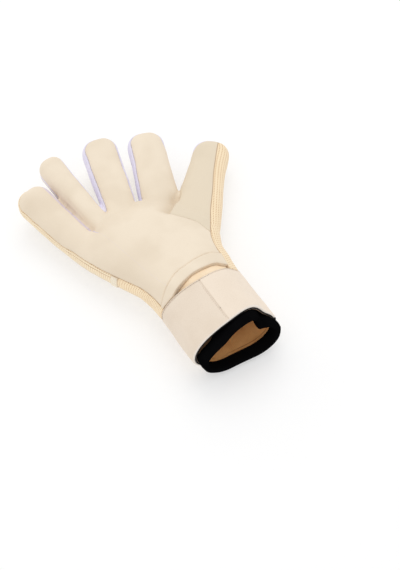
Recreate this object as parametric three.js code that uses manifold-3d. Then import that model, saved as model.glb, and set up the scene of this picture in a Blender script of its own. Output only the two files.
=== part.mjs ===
// A right-hand goalkeeper glove, lying on its back with the palm up and the cuff held open.
// Millimetres: +X towards the thumb, +Y from the cuff towards the fingers, +Z out of the palm.
// Every layer is cut from one outer form of the stuffed glove, grown or shrunk by an offset:
// foam palm and backhand on the outside, fabric gussets between them, a knitted sleeve inside
// the wrist, the strap round it and a folded black binding on the cuff's edge.

import * as THREE from "three";
import { mergeVertices } from "three/addons/utils/BufferGeometryUtils.js";
import Module from "manifold-3d";

// Driving dimensions of the outer form
const PALM_LENGTH = 118; // strap's upper edge to the roots of the fingers
const PALM_WIDTH = 124; // across the knuckles
const PALM_HEIGHT = 45; // thickness of the stuffed palm
const WRIST_WIDTH = 91;
const WRIST_HEIGHT = 58;
const STRAP_WIDTH = 57; // along the arm
const BINDING_WIDTH = 15.5; // outside the cuff, along the arm
const BINDING_TURN = 8; // how far the binding reaches back inside the cuff
const RIM_SLANT = 0.11; // the rim leans back by this much for each mm of height
const CUFF_SKEW = 0.22; // the cuff is longer on the thumb side by this share across the wrist
const SKEW_FALL = 0.55; // how much of that share the cube of the height takes away
const SKEW_EASE = 15; // how softly the skew starts at the middle
const FINGER_LENGTH = 86; // the middle finger beyond its root
const FINGER_WIDTH = 40; // the index finger at its root
const FINGER_HEIGHT = 29;
const THUMB_LENGTH = 84;
const THUMB_WIDTH = 45;

// Layers
const FOAM = 5.4; // latex foam with its backing
const GUSSET = 1.8;
const GUSSET_RECESS = 1.4; // gusset fabric lies this far inside the foam's face
const SLEEVE = 2;
const STRAP = 4;
const BINDING = 1.6; // one fold of the binding tape
const HEEL_BAND_RISE = 1.2; // the padded heel band stands proud of the palm
const THUMB_PANEL_DROP = 0.8; // the thumb panel is tucked under the palm's edge
const SLEEVE_TUCK = 30; // how far the sleeve reaches up inside the palm
const JOINT_TAB_LENGTH = 7; // along the glove's side
const JOINT_TAB_RISE = 1.6;
const GAP = 0.3; // clearance between neighbouring pieces

// Offsets of the layers from the outer form, outwards positive
const GUSSET_OUT = -GUSSET_RECESS;
const GUSSET_IN = GUSSET_OUT - GUSSET;
const SLEEVE_OUT = -FOAM - GAP;
const SLEEVE_IN = SLEEVE_OUT - SLEEVE;
const BINDING_OUT = SLEEVE_OUT + GAP + BINDING;
const BINDING_IN = SLEEVE_IN - GAP - BINDING;

// How the glove lies: the height of its middle surface, and how far above and below it the rims
// of the foam run. along is a share of the palm's length, the others are shares of its height.
const LIE = [
  { along: -0.9, middle: 0.71, rimUp: 0.3, rimDown: 0.22 },
  { along: 0, middle: 0.615, rimUp: 0.24, rimDown: 0.2 },
  { along: 0.42, middle: 0.52, rimUp: 0.155, rimDown: 0.18 },
  { along: 0.85, middle: 0.46, rimUp: 0.155, rimDown: 0.13 },
  { along: 1.1, middle: 0.46, rimUp: 0.19, rimDown: 0.11 },
  { along: 1.35, middle: 0.53, rimUp: 0.19, rimDown: 0.1 },
  { along: 1.7, middle: 0.66, rimUp: 0.18, rimDown: 0.09 },
  { along: 2.2, middle: 0.88, rimUp: 0.17, rimDown: 0.09 },
];

// Sections of the cuff, as shares of the cuff's length, the wrist's width and its height.
// square is the exponent of the rounded section: 2 is an ellipse, more is boxier.
const CUFF_SECTIONS = [
  { along: -1.25, left: -0.495, right: 0.51, half: 0.565, square: 2.1 },
  { along: -0.8, left: -0.493, right: 0.52, half: 0.55, square: 2.1 },
  { along: -0.4, left: -0.484, right: 0.53, half: 0.525, square: 2.1 },
  { along: 0, left: -0.468, right: 0.538, half: 0.5, square: 2.15 },
];

// Sections of the palm, as shares of the palm's length, width and height.
const PALM_SECTIONS = [
  { along: 0.15, left: -0.347, right: 0.396, half: 0.61, square: 2.2 },
  { along: 0.29, left: -0.368, right: 0.412, half: 0.575, square: 2.3 },
  { along: 0.42, left: -0.418, right: 0.476, half: 0.55, square: 2.4 },
  { along: 0.56, left: -0.48, right: 0.498, half: 0.53, square: 2.5 },
  { along: 0.71, left: -0.534, right: 0.43, half: 0.515, square: 2.6 },
  { along: 0.85, left: -0.568, right: 0.385, half: 0.49, square: 2.6 },
  { along: 0.94, left: -0.586, right: 0.375, half: 0.405, square: 2.6 },
  { along: 1.0, left: -0.578, right: 0.345, half: 0.31, square: 2.5 },
];

// Dents in the cuff. turn and spread are degrees round it from the thumb side, near and far are
// depths at the strap's upper edge and at the rim, as shares of the wrist's height. A loose dent
// is in the sleeve and its binding alone, where they fall away from the strap.
const CUFF_DENTS = [
  { name: "thumb side", turn: 27, spread: 26, near: 0.08, far: 0.12, loose: false },
  { name: "folded corner", turn: 36, spread: 13, near: 0, far: 0.1, loose: true },
  { name: "slack side", turn: 134, spread: 33, near: 0, far: 0.14, loose: true },
];

// Fingers, and the webs that join their roots. rootX and rootY are shares of the palm's width and
// length, angle turns from +Y towards the thumb in degrees, length and width are shares of a
// finger's, and flare is the width near the tip as a share of the width at the root.
const FINGERS = {
  index: { rootX: 0.268, rootY: 1.0, angle: 21, length: 0.93, width: 1.02, flare: 0.93 },
  middle: { rootX: -0.046, rootY: 1.076, angle: 14.8, length: 1.0, width: 0.87, flare: 1.08 },
  ring: { rootX: -0.27, rootY: 1.025, angle: -3.5, length: 1.09, width: 0.69, flare: 1 },
  little: { rootX: -0.478, rootY: 0.977, angle: -11.5, length: 0.93, width: 0.82, flare: 1.12 },
};
const WEBS = [
  { rootX: 0.085, rootY: 0.999, angle: 18, length: 0.102, width: 0.62, flare: 1 },
  { rootX: -0.181, rootY: 1.031, angle: 6, length: 0.102, width: 0.62, flare: 1 },
  { rootX: -0.35, rootY: 0.93, angle: -7.5, length: 0.102, width: 0.55, flare: 1 },
];
const THUMB_ROOT = { x: 0.478, y: 0.749 };
const THUMB_ANGLE = 44.7;

// Profiles from inside the palm to the start of the round tip, as shares of length, width and
// height. flared is how far a section has gone from the root's width to the flare's.
const FINGER_PROFILE = [
  { along: -0.34, wide: 0.82, flared: 0, height: 1.02 },
  { along: -0.12, wide: 0.95, flared: 0, height: 1.01 },
  { along: 0.05, wide: 1.0, flared: 0, height: 1.0 },
  { along: 0.6, wide: 1.0, flared: 1, height: 0.92 },
];
const WEB_PROFILE = [
  { along: -1.6, wide: 1.0, flared: 0, height: 1.0 },
  { along: -0.5, wide: 1.0, flared: 0, height: 0.98 },
];
const THUMB_FLARE = 0.84;
const THUMB_PROFILE = [
  { along: -0.62, wide: 0.92, flared: 0, height: 1.1 },
  { along: -0.3, wide: 1.18, flared: 0, height: 1.08 },
  { along: 0, wide: 1.1, flared: 0, height: 1.0 },
  { along: 0.35, wide: 1.02, flared: 0.6, height: 0.95 },
  { along: 0.66, wide: 1.0, flared: 1, height: 0.9 },
];
const FINGER_SQUARE = 2.5;
const TIP_CORNER = 0.78; // corner radius of a tip as a share of its half width
const TIP_TURN = 80; // degrees through which the tip's rounding runs
const TIP_FLATTEN = 0.8; // how much of the height is lost along with the width at the tip
const TIP_STEPS = 3;

// Seams of the palm side, seen from above, as shares of the palm's width and length.
const THUMB_ROOT_SEAM = [
  { x: 0.2, y: 0.737 },
  { x: 0.28, y: 0.626 },
  { x: 0.334, y: 0.528 },
  { x: 0.352, y: 0.447 },
];
const THUMB_SIDE_SEAM = [
  { x: 0.368, y: 0.394 },
  { x: 0.466, y: 0.545 },
  { x: 0.522, y: 0.631 },
  { x: 0.648, y: 0.794 },
  { x: 0.785, y: 0.981 },
  { x: 1.046, y: 1.291 },
];
const HEEL_SIDE_SEAM = [
  { x: 0.27, y: -0.1 },
  { x: 0.283, y: 0.031 },
  { x: 0.298, y: 0.114 },
  { x: 0.312, y: 0.209 },
  { x: 0.335, y: 0.314 },
];
const WEB_LINE = [
  { x: 0.815, y: 1.63 },
  { x: 0.42, y: 0.932 },
  { x: 0.319, y: 0.85 },
  { x: 0.215, y: 0.757 },
];
const HEEL_BAND_TOP = [
  { x: -0.4, y: -0.06 },
  { x: -0.314, y: 0.036 },
  { x: -0.218, y: 0.112 },
  { x: -0.104, y: 0.164 },
  { x: -0.006, y: 0.18 },
  { x: 0.118, y: 0.194 },
  { x: 0.22, y: 0.19 },
  { x: 0.31, y: 0.155 },
  { x: 0.6, y: 0.1 },
];
const HEEL_BAND_BOTTOM = [
  { x: -0.4, y: -0.12 },
  { x: -0.23, y: 0.004 },
  { x: -0.13, y: 0.047 },
  { x: -0.008, y: 0.073 },
  { x: 0.106, y: 0.074 },
  { x: 0.197, y: 0.063 },
  { x: 0.266, y: 0.025 },
  { x: 0.6, y: -0.1 },
];
const SIDE_JOINT = 0.515; // the joint tab's place along the side, a share of the palm's length
const STRAP_SEAM_PLACE = -0.01; // where the strap's seam starts, a share of the wrist's width
const STRAP_SEAM_DRIFT = -0.04; // how far it drifts by the strap's lower edge, the same share

// Finishes
const FOAM_CREAM = 0xf1e2cb;
const STRAP_CREAM = 0xf0e0cd;
const MESH_CREAM = 0xf3dcb4;
const LILAC_WHITE = 0xe2dcee;
const SLEEVE_TAN = 0xcfa777;
const BINDING_BLACK = 0x0c0c0f;

const CUFF_LENGTH = STRAP_WIDTH + BINDING_WIDTH;
const BODY_SIDES = 32;
const FINGER_SIDES = 14;
const REACH = 3 * (PALM_WIDTH + PALM_LENGTH); // further than any part of the glove
const rad = THREE.MathUtils.degToRad;

const wasm = await Module();
wasm.setup();

// A closed geometry as a solid for joining and cutting.
function solid(geometry) {
  const bare = geometry.clone();
  bare.deleteAttribute("normal");
  bare.deleteAttribute("uv");
  const merged = mergeVertices(bare, 1e-4);
  return new wasm.Manifold(
    new wasm.Mesh({
      numProp: 3,
      vertProperties: new Float32Array(merged.attributes.position.array),
      triVerts: new Uint32Array(merged.index.array),
    }),
  );
}

// Height of the glove's middle surface at a distance y from the strap's upper edge.
function middleAt(y) {
  const along = y / PALM_LENGTH;
  const next = Math.max(1, LIE.findIndex((row) => row.along >= along));
  const [a, b] = [LIE[next - 1], LIE[next]];
  const share = THREE.MathUtils.clamp((along - a.along) / (b.along - a.along), 0, 1);
  return PALM_HEIGHT * THREE.MathUtils.lerp(a.middle, b.middle, share);
}

// How far the cuff is pushed in at y and at a turn in degrees.
function dentAt(y, turn, loose) {
  const fade = Math.max(0, 1 - y / (PALM_SECTIONS[0].along * PALM_LENGTH));
  return CUFF_DENTS.filter((dent) => loose || !dent.loose).reduce((sum, dent) => {
    const deep = y > 0 ? dent.near * fade : dent.near + ((dent.near - dent.far) * y) / CUFF_LENGTH;
    return sum + WRIST_HEIGHT * deep * Math.exp(-(((turn - dent.turn) / dent.spread) ** 2));
  }, 0);
}

// A ring of points round centre in the upright plane that holds across: a superellipse with half
// width a, half height b and exponent square, pushed in by dent, which is a function of the turn.
function ring(centre, across, a, b, square, sides, dent = () => 0) {
  const points = Array.from({ length: sides }, (_, i) => {
    const turn = (360 * i) / sides;
    const [c, s] = [Math.cos(rad(turn)), Math.sin(rad(turn))];
    const u = a * Math.sign(c) * Math.abs(c) ** (2 / square);
    const w = b * Math.sign(s) * Math.abs(s) ** (2 / square);
    const keep = 1 - dent(turn) / Math.hypot(u, w);
    return new THREE.Vector3(0, 0, w * keep).addScaledVector(across, u * keep).add(centre);
  });
  return points.reverse();
}

// A closed loft through rings of equal count, with a flat fan at each end.
function loft(rings) {
  const sides = rings[0].length;
  const points = rings.flat();
  const index = [];
  rings.slice(1).forEach((_, r) => {
    for (let i = 0; i < sides; i++) {
      const [a, b] = [r * sides + i, r * sides + ((i + 1) % sides)];
      index.push(a, b, b + sides, a, b + sides, a + sides);
    }
  });
  [rings[0], rings[rings.length - 1]].forEach((end, last) => {
    const hub = points.length;
    const start = last * (rings.length - 1) * sides;
    points.push(end.reduce((sum, p) => sum.add(p), new THREE.Vector3()).divideScalar(sides));
    for (let i = 0; i < sides; i++) {
      const [a, b] = [start + i, start + ((i + 1) % sides)];
      index.push(...(last ? [hub, a, b] : [hub, b, a]));
    }
  });
  const geometry = new THREE.BufferGeometry().setFromPoints(points);
  geometry.setIndex(index);
  return geometry;
}

// The cuff and palm in one loft, grown by offset.
function bodyForm(offset, loose) {
  const scaled = (row, length, width, height) => ({
    y: row.along * length,
    left: row.left * width,
    right: row.right * width,
    half: row.half * height,
    square: row.square,
  });
  const rows = [
    ...CUFF_SECTIONS.map((row) => scaled(row, CUFF_LENGTH, WRIST_WIDTH, WRIST_HEIGHT)),
    ...PALM_SECTIONS.map((row) => scaled(row, PALM_LENGTH, PALM_WIDTH, PALM_HEIGHT)),
  ];
  rows[rows.length - 1].y += offset;
  const across = new THREE.Vector3(1, 0, 0);
  return loft(
    rows.map((row) => {
      const centre = new THREE.Vector3((row.left + row.right) / 2, row.y, middleAt(row.y));
      const a = (row.right - row.left) / 2 + offset;
      const dent = (turn) => dentAt(row.y, turn, loose);
      return ring(centre, across, a, row.half + offset, row.square, BODY_SIDES, dent);
    }),
  );
}

// A finger, thumb or web: its profile, then a tip rounded to a corner radius, grown by offset.
function fingerForm({ root, angle, length, width, flare, profile }, offset) {
  const ahead = new THREE.Vector3(Math.sin(rad(angle)), Math.cos(rad(angle)), 0);
  const across = new THREE.Vector3(ahead.y, -ahead.x, 0);
  const sections = profile.map((row) => ({
    reach: row.along * length,
    a: (row.wide * width * (1 + row.flared * (flare - 1))) / 2 + offset,
    b: (row.height * FINGER_HEIGHT) / 2 + offset,
  }));
  const { a, b } = sections[sections.length - 1];
  const corner = TIP_CORNER * a;
  for (let i = 0; i <= TIP_STEPS; i++) {
    const turn = (i / TIP_STEPS) * rad(TIP_TURN);
    const lost = 1 - Math.cos(turn);
    sections.push({
      reach: length + offset - corner * (1 - Math.sin(turn)),
      a: a - corner * lost,
      b: b * (1 - TIP_FLATTEN * lost),
    });
  }
  return loft(
    sections.map((section) => {
      const centre = root.clone().addScaledVector(ahead, section.reach);
      centre.z = middleAt(centre.y);
      return ring(centre, across, section.a, section.b, FINGER_SQUARE, FINGER_SIDES);
    }),
  );
}

// One row of FINGERS or WEBS at its real size.
const digit = (row, profile) => ({
  root: new THREE.Vector3(row.rootX * PALM_WIDTH, row.rootY * PALM_LENGTH, 0),
  angle: row.angle,
  length: row.length * FINGER_LENGTH,
  width: row.width * FINGER_WIDTH,
  flare: row.flare,
  profile,
});
const thumb = {
  root: new THREE.Vector3(THUMB_ROOT.x * PALM_WIDTH, THUMB_ROOT.y * PALM_LENGTH, 0),
  angle: THUMB_ANGLE,
  length: THUMB_LENGTH,
  width: THUMB_WIDTH,
  flare: THUMB_FLARE,
  profile: THUMB_PROFILE,
};
const digits = [
  ...Object.values(FINGERS).map((row) => digit(row, FINGER_PROFILE)),
  ...WEBS.map((row) => digit(row, WEB_PROFILE)),
  thumb,
];

// An upright prism over an outline seen from above.
function plan(outline, low = -REACH, high = REACH) {
  const shape = new THREE.Shape(outline);
  const prism = new THREE.ExtrudeGeometry(shape, { depth: high - low, bevelEnabled: false });
  return solid(prism.translate(0, 0, low));
}

const box = (x0, x1, y0, y1) => [
  new THREE.Vector2(x0, y0),
  new THREE.Vector2(x1, y0),
  new THREE.Vector2(x1, y1),
  new THREE.Vector2(x0, y1),
];
const stretch = (y0, y1) => plan(box(-REACH, REACH, y0, y1));

// The outer form grown by offset, its underside pressed flat where it lies on the floor.
const forms = new Map();
function form(offset, loose = false) {
  const key = `${offset} ${loose}`;
  if (!forms.has(key)) {
    const whole = digits.reduce(
      (sum, each) => sum.add(solid(fingerForm(each, offset))),
      solid(bodyForm(offset, loose)),
    );
    forms.set(key, whole.intersect(plan(box(-REACH, REACH, -REACH, REACH), -offset)));
  }
  return forms.get(key);
}

// The shell between two offsets of the outer form.
const shell = (outer, inner, loose) => form(outer, loose).subtract(form(inner, loose));

// A level prism that runs the whole way along x, from an outline drawn on y and z.
function slab(outline) {
  const shape = new THREE.Shape(outline);
  const prism = new THREE.ExtrudeGeometry(shape, { depth: 2 * REACH, bevelEnabled: false });
  const sideways = new THREE.Matrix4().makeBasis(
    new THREE.Vector3(0, 1, 0),
    new THREE.Vector3(0, 0, 1),
    new THREE.Vector3(1, 0, 0),
  );
  return solid(prism.translate(0, 0, -REACH).applyMatrix4(sideways));
}

// Everything on the fingers' side of the slanted rim, from a depth inside it.
const behindRim = (depth) =>
  slab([
    new THREE.Vector2(-CUFF_LENGTH + depth - RIM_SLANT * REACH, -REACH),
    new THREE.Vector2(REACH, -REACH),
    new THREE.Vector2(REACH, REACH),
    new THREE.Vector2(-CUFF_LENGTH + depth + RIM_SLANT * REACH, REACH),
  ]);

// Everything between two heights that are functions of a row of LIE.
function between(low, high) {
  const steps = LIE.map((row) => row.along * PALM_LENGTH);
  steps[0] = -REACH;
  steps[steps.length - 1] = REACH;
  const under = LIE.map((row, i) => new THREE.Vector2(steps[i], low(row)));
  const over = LIE.map((row, i) => new THREE.Vector2(steps[i], high(row))).reverse();
  return slab([...under, ...over]);
}
const upperRim = (row) => PALM_HEIGHT * (row.middle + row.rimUp);
const lowerRim = (row) => PALM_HEIGHT * (row.middle - row.rimDown);
const palmSide = between(upperRim, () => REACH);
const backSide = between(() => -REACH, lowerRim);
const aboveBack = between((row) => lowerRim(row) + GAP, () => REACH);
const edgeBand = between((row) => lowerRim(row) + GAP, (row) => upperRim(row) - GAP);

// An outline moved outwards by distance, or inwards where that is negative.
function grow(outline, distance) {
  const turned = THREE.ShapeUtils.isClockWise(outline) ? [...outline].reverse() : outline;
  return turned.map((point, i) => {
    const before = point.clone().sub(turned[(i + turned.length - 1) % turned.length]).normalize();
    const after = turned[(i + 1) % turned.length].clone().sub(point).normalize();
    const middle = before.clone().add(after).normalize();
    const normal = new THREE.Vector2(middle.y, -middle.x);
    return point.clone().addScaledVector(normal, distance / Math.max(0.35, middle.dot(after)));
  });
}
const inside = (outline) => plan(grow(outline, -GAP / 2));
const around = (outline) => plan(grow(outline, GAP / 2));

// Outlines of the pieces, seen from above
const place = (row) => new THREE.Vector2(row.x * PALM_WIDTH, row.y * PALM_LENGTH);
const corner = (x, y) => new THREE.Vector2(x, y);
const sideSeam = [...HEEL_SIDE_SEAM, ...THUMB_SIDE_SEAM].map(place);
const thumbSide = [...sideSeam, corner(REACH, sideSeam.at(-1).y), corner(REACH, sideSeam[0].y)];
const thumbFront = [...THUMB_ROOT_SEAM, ...THUMB_SIDE_SEAM, ...WEB_LINE].map(place);
const heelEnd = [...HEEL_BAND_TOP.map(place), corner(REACH, -REACH), corner(-REACH, -REACH)];
const heelBand = [...HEEL_BAND_TOP, ...[...HEEL_BAND_BOTTOM].reverse()].map(place);

// A point on a finger's centre line, as a share of the finger's length from its root.
function onFinger(name, share) {
  const row = FINGERS[name];
  const step = share * FINGER_LENGTH;
  const way = corner(Math.sin(rad(row.angle)) * step, Math.cos(rad(row.angle)) * step);
  return way.add(corner(row.rootX * PALM_WIDTH, row.rootY * PALM_LENGTH));
}
const BEHIND = -0.3;
const BEYOND = 2;
const wedge = (a, b) => [
  onFinger(a, BEHIND),
  onFinger(a, BEYOND),
  onFinger(b, BEYOND),
  onFinger(b, BEHIND),
];
const webWedge = [
  onFinger("index", BEHIND),
  onFinger("index", BEYOND),
  corner(REACH, onFinger("index", BEYOND).y),
  ...THUMB_SIDE_SEAM.slice(THUMB_SIDE_SEAM.findIndex((row) => row.y > THUMB_ROOT.y))
    .map(place)
    .reverse(),
];
const jointPlace = SIDE_JOINT * PALM_LENGTH;
const jointStart = jointPlace - JOINT_TAB_LENGTH / 2;
const jointEnd = jointPlace + JOINT_TAB_LENGTH / 2;
const littleSide = [
  onFinger("little", BEYOND),
  onFinger("little", BEHIND),
  corner(0, jointEnd),
  corner(-REACH, jointEnd),
  corner(-REACH, onFinger("little", BEYOND).y),
];
const jointTab = box(-REACH, 0, jointStart, jointEnd);
const heelSide = box(-REACH, 0, GAP / 2, jointStart);

// The strap's seam, on the palm side and the back alike
const seamStart = STRAP_SEAM_PLACE * WRIST_WIDTH;
const seamEnd = seamStart + STRAP_SEAM_DRIFT * WRIST_WIDTH;
const thumbHalf = [
  corner(seamStart, GAP),
  corner(seamEnd, -STRAP_WIDTH - GAP),
  corner(REACH, -STRAP_WIDTH - GAP),
  corner(REACH, GAP),
];

// The layers from which the pieces are cut
const beyondStrap = stretch(GAP, REACH);
const foam = shell(0, -FOAM).intersect(beyondStrap);
const fabric = shell(GUSSET_OUT, GUSSET_IN).intersect(beyondStrap);
const edgeFabric = fabric.intersect(edgeBand);
const strap = shell(0, -STRAP).intersect(stretch(-STRAP_WIDTH, 0));

// Below the strap's upper edge, lengths grow towards the thumb side, less so higher up.
function skewed(positions) {
  for (let i = 0; i < positions.count; i++) {
    const { x, y, z } = new THREE.Vector3().fromBufferAttribute(positions, i);
    const skew = CUFF_SKEW - SKEW_FALL * (z / WRIST_HEIGHT) ** 3;
    const growth = (skew * (x + Math.hypot(x, SKEW_EASE))) / (2 * WRIST_WIDTH);
    positions.setY(i, y < 0 ? y * (1 + growth) : y);
  }
  return positions;
}

const pieces = [];
function addPiece(name, cut, color, roughness) {
  const mesh = cut.getMesh();
  const geometry = new THREE.BufferGeometry();
  geometry.setAttribute("position", skewed(new THREE.BufferAttribute(mesh.vertProperties, 3)));
  geometry.setIndex(new THREE.BufferAttribute(mesh.triVerts, 1));
  const material = new THREE.MeshStandardMaterial({ color, roughness, metalness: 0 });
  const piece = new THREE.Mesh(geometry, material);
  piece.name = name;
  pieces.push(piece);
}

const padded = foam.intersect(palmSide);
const palm = [thumbFront, thumbSide, heelEnd].reduce(
  (rest, outline) => rest.subtract(around(outline)),
  padded,
);
addPiece("palm_latex", palm, FOAM_CREAM, 0.72);
const thumbPad = padded.intersect(form(-THUMB_PANEL_DROP)).intersect(inside(thumbFront));
addPiece("thumb_latex", thumbPad, FOAM_CREAM, 0.72);
const band = shell(HEEL_BAND_RISE, -FOAM).intersect(beyondStrap).intersect(palmSide);
const heel = band.intersect(inside(heelBand)).subtract(around(thumbSide));
addPiece("heel_band", heel, FOAM_CREAM, 0.72);
addPiece("backhand", foam.intersect(backSide), FOAM_CREAM, 0.75);

const thumbMesh = fabric.intersect(aboveBack).intersect(inside(thumbSide));
addPiece("thumb_mesh", thumbMesh, MESH_CREAM, 0.85);
addPiece("palm_side_mesh", edgeFabric.intersect(inside(heelSide)), MESH_CREAM, 0.85);
addPiece("little_side_strip", edgeFabric.intersect(inside(littleSide)), MESH_CREAM, 0.85);
const tab = shell(JOINT_TAB_RISE, GUSSET_IN).intersect(edgeBand).intersect(inside(jointTab));
addPiece("side_joint_tab", tab, MESH_CREAM, 0.85);

const gussets = [
  { name: "gusset_web", outline: webWedge },
  { name: "gusset_index_middle", outline: wedge("index", "middle") },
  { name: "gusset_middle_ring", outline: wedge("middle", "ring") },
  { name: "gusset_ring_little", outline: wedge("ring", "little") },
];
gussets.forEach(({ name, outline }) => {
  addPiece(name, edgeFabric.intersect(inside(outline)), LILAC_WHITE, 0.85);
});

const sleeve = shell(SLEEVE_OUT, SLEEVE_IN, true)
  .intersect(behindRim(BINDING + GAP))
  .intersect(stretch(-REACH, SLEEVE_TUCK));
addPiece("wrist_sleeve", sleeve, SLEEVE_TAN, 0.9);
const slot = shell(SLEEVE_OUT + GAP, SLEEVE_IN - GAP, true).intersect(behindRim(BINDING));
const binding = shell(BINDING_OUT, BINDING_IN, true)
  .subtract(slot)
  .subtract(form(SLEEVE_OUT + GAP, true).intersect(behindRim(BINDING_TURN)))
  .intersect(behindRim(0))
  .intersect(stretch(-REACH, -STRAP_WIDTH - GAP));
addPiece("cuff_binding", binding, BINDING_BLACK, 0.9);
addPiece("strap_palm_panel", strap.subtract(around(thumbHalf)), STRAP_CREAM, 0.8);
addPiece("strap_thumb_panel", strap.intersect(inside(thumbHalf)), STRAP_CREAM, 0.8);

// The glove's origin is below its middle, on the surface it rests on.
const glove = new THREE.Group();
glove.add(...pieces);
const bounds = new THREE.Box3().setFromObject(glove);
const centre = bounds.getCenter(new THREE.Vector3());
glove.position.set(-centre.x, -centre.y, -bounds.min.z);

export default glove;
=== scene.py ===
"""A right-hand goalkeeper glove, lying on its back with the palm up and the cuff held open.

Lengths are in millimetres in the glove's own frame until a mesh is made: +X towards the thumb,
+Y from the cuff towards the fingers, +Z out of the palm, and y = 0 at the strap's upper edge.
"""

import logging
import math
from collections.abc import Callable, Sequence
from dataclasses import dataclass
from enum import Enum
from typing import Any, NamedTuple

import bpy
import numpy as np
from mathutils import Matrix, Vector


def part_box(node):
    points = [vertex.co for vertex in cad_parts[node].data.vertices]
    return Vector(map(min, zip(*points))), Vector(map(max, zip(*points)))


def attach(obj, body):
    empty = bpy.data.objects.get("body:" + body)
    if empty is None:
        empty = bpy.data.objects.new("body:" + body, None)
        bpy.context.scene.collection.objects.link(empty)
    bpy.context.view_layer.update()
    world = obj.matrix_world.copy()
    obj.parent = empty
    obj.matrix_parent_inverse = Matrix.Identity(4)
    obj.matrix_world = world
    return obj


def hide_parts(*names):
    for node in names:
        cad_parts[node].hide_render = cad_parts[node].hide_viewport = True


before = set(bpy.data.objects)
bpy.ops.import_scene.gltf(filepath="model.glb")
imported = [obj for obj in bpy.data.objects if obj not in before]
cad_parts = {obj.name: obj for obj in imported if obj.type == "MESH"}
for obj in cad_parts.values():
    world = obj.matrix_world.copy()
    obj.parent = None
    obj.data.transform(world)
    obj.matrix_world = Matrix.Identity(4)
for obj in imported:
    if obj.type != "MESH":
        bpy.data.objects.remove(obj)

log = logging.getLogger("glove")
Array = np.ndarray
Field = Callable[[Array], Array]
MM = 0.001
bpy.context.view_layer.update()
DARK_LINING = (104, 78, 56)

# Gap between sewn panels, and how softly a surface bends where the floor presses it flat
SEWN_GAP = 0.06
FLOOR_EASE = 1.2

# Distances below the upper rim on the strip along the little finger's side
PIPING_LIGHT = 2.0
PIPING = 1.9
SECOND_SEAM = 3.6


class Slot(Enum):
    """Material slots of the record, one kept with each panel."""

    FOAM = "foam_latex"
    THUMB = "thumb_latex"
    BACK = "backhand_foam"
    MESH = "side_mesh"
    GUSSET = "lilac_gusset"
    SLEEVE = "sleeve_knit"
    STRAP = "strap_cream"
    BINDING = "black_binding"


class Lie(NamedTuple):
    """Heights at a distance along the palm: the middle surface, and the foam rims above and below."""

    along: float
    middle: float
    rim_up: float
    rim_down: float


class Section(NamedTuple):
    """A rounded section of the cuff or palm. square 2 is an ellipse and more is boxier."""

    along: float
    left: float
    right: float
    half: float
    square: float


class Dent(NamedTuple):
    """A dent in the cuff: turn and spread in degrees, depths at the strap's edge and the rim."""

    turn: float
    spread: float
    near: float
    far: float
    loose: bool


class Digit(NamedTuple):
    """A finger or web: its root as shares of the palm, and its length and width as shares."""

    root_x: float
    root_y: float
    angle: float
    length: float
    width: float
    flare: float


class Station(NamedTuple):
    """A section of a finger, as shares of its length, width and height."""

    along: float
    wide: float
    flared: float
    height: float


class Hollow(NamedTuple):
    """A soft dent in the outer form: its centre, its spread across and along, turn and depth."""

    x: float
    y: float
    across: float
    along: float
    turn: float
    depth: float


class Swell(NamedTuple):
    """A slow random swell of a surface."""

    depth: float
    wavelength: float
    seed: int


class Crease(NamedTuple):
    """A crease from one point to another: soft over its width on the left, steep on the right."""

    x0: float
    y0: float
    x1: float
    y1: float
    depth: float
    width: float
    steep: float
    fade: float


LIE = (
    Lie(-0.9, 0.71, 0.3, 0.22),
    Lie(0, 0.615, 0.24, 0.2),
    Lie(0.42, 0.52, 0.155, 0.18),
    Lie(0.85, 0.46, 0.155, 0.13),
    Lie(1.1, 0.46, 0.19, 0.11),
    Lie(1.35, 0.53, 0.19, 0.1),
    Lie(1.7, 0.66, 0.18, 0.09),
    Lie(2.2, 0.88, 0.17, 0.09),
)
CUFF_SECTIONS = (
    Section(-1.25, -0.495, 0.51, 0.565, 2.1),
    Section(-0.8, -0.493, 0.52, 0.55, 2.1),
    Section(-0.4, -0.484, 0.53, 0.525, 2.1),
    Section(0, -0.468, 0.538, 0.5, 2.15),
)
PALM_SECTIONS = (
    Section(0.15, -0.347, 0.396, 0.61, 2.2),
    Section(0.29, -0.368, 0.412, 0.575, 2.3),
    Section(0.42, -0.418, 0.476, 0.55, 2.4),
    Section(0.56, -0.48, 0.498, 0.53, 2.5),
    Section(0.71, -0.534, 0.43, 0.515, 2.6),
    Section(0.85, -0.568, 0.385, 0.49, 2.6),
    Section(0.94, -0.586, 0.375, 0.405, 2.6),
    Section(1.0, -0.578, 0.345, 0.31, 2.5),
)
CUFF_DENTS = (
    Dent(27, 26, 0.08, 0.12, False),
    Dent(36, 13, 0, 0.1, True),
    Dent(134, 33, 0, 0.14, True),
)
FINGERS = {
    "index": Digit(0.268, 1.0, 21, 0.93, 1.02, 0.93),
    "middle": Digit(-0.046, 1.076, 14.8, 1.0, 0.87, 1.08),
    "ring": Digit(-0.27, 1.025, -3.5, 1.09, 0.69, 1),
    "little": Digit(-0.478, 0.977, -11.5, 0.93, 0.82, 1.12),
}
WEBS = (
    Digit(0.085, 0.999, 18, 0.102, 0.62, 1),
    Digit(-0.181, 1.031, 6, 0.102, 0.62, 1),
    Digit(-0.35, 0.93, -7.5, 0.102, 0.55, 1),
)
FINGER_PROFILE = (
    Station(-0.34, 0.82, 0, 1.02),
    Station(-0.12, 0.95, 0, 1.01),
    Station(0.05, 1.0, 0, 1.0),
    Station(0.6, 1.0, 1, 0.92),
)
WEB_PROFILE = (Station(-1.6, 1.0, 0, 1.0), Station(-0.5, 1.0, 0, 0.98))
THUMB_PROFILE = (
    Station(-0.62, 0.92, 0, 1.1),
    Station(-0.3, 1.18, 0, 1.08),
    Station(0, 1.1, 0, 1.0),
    Station(0.35, 1.02, 0.6, 0.95),
    Station(0.66, 1.0, 1, 0.9),
)
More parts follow.
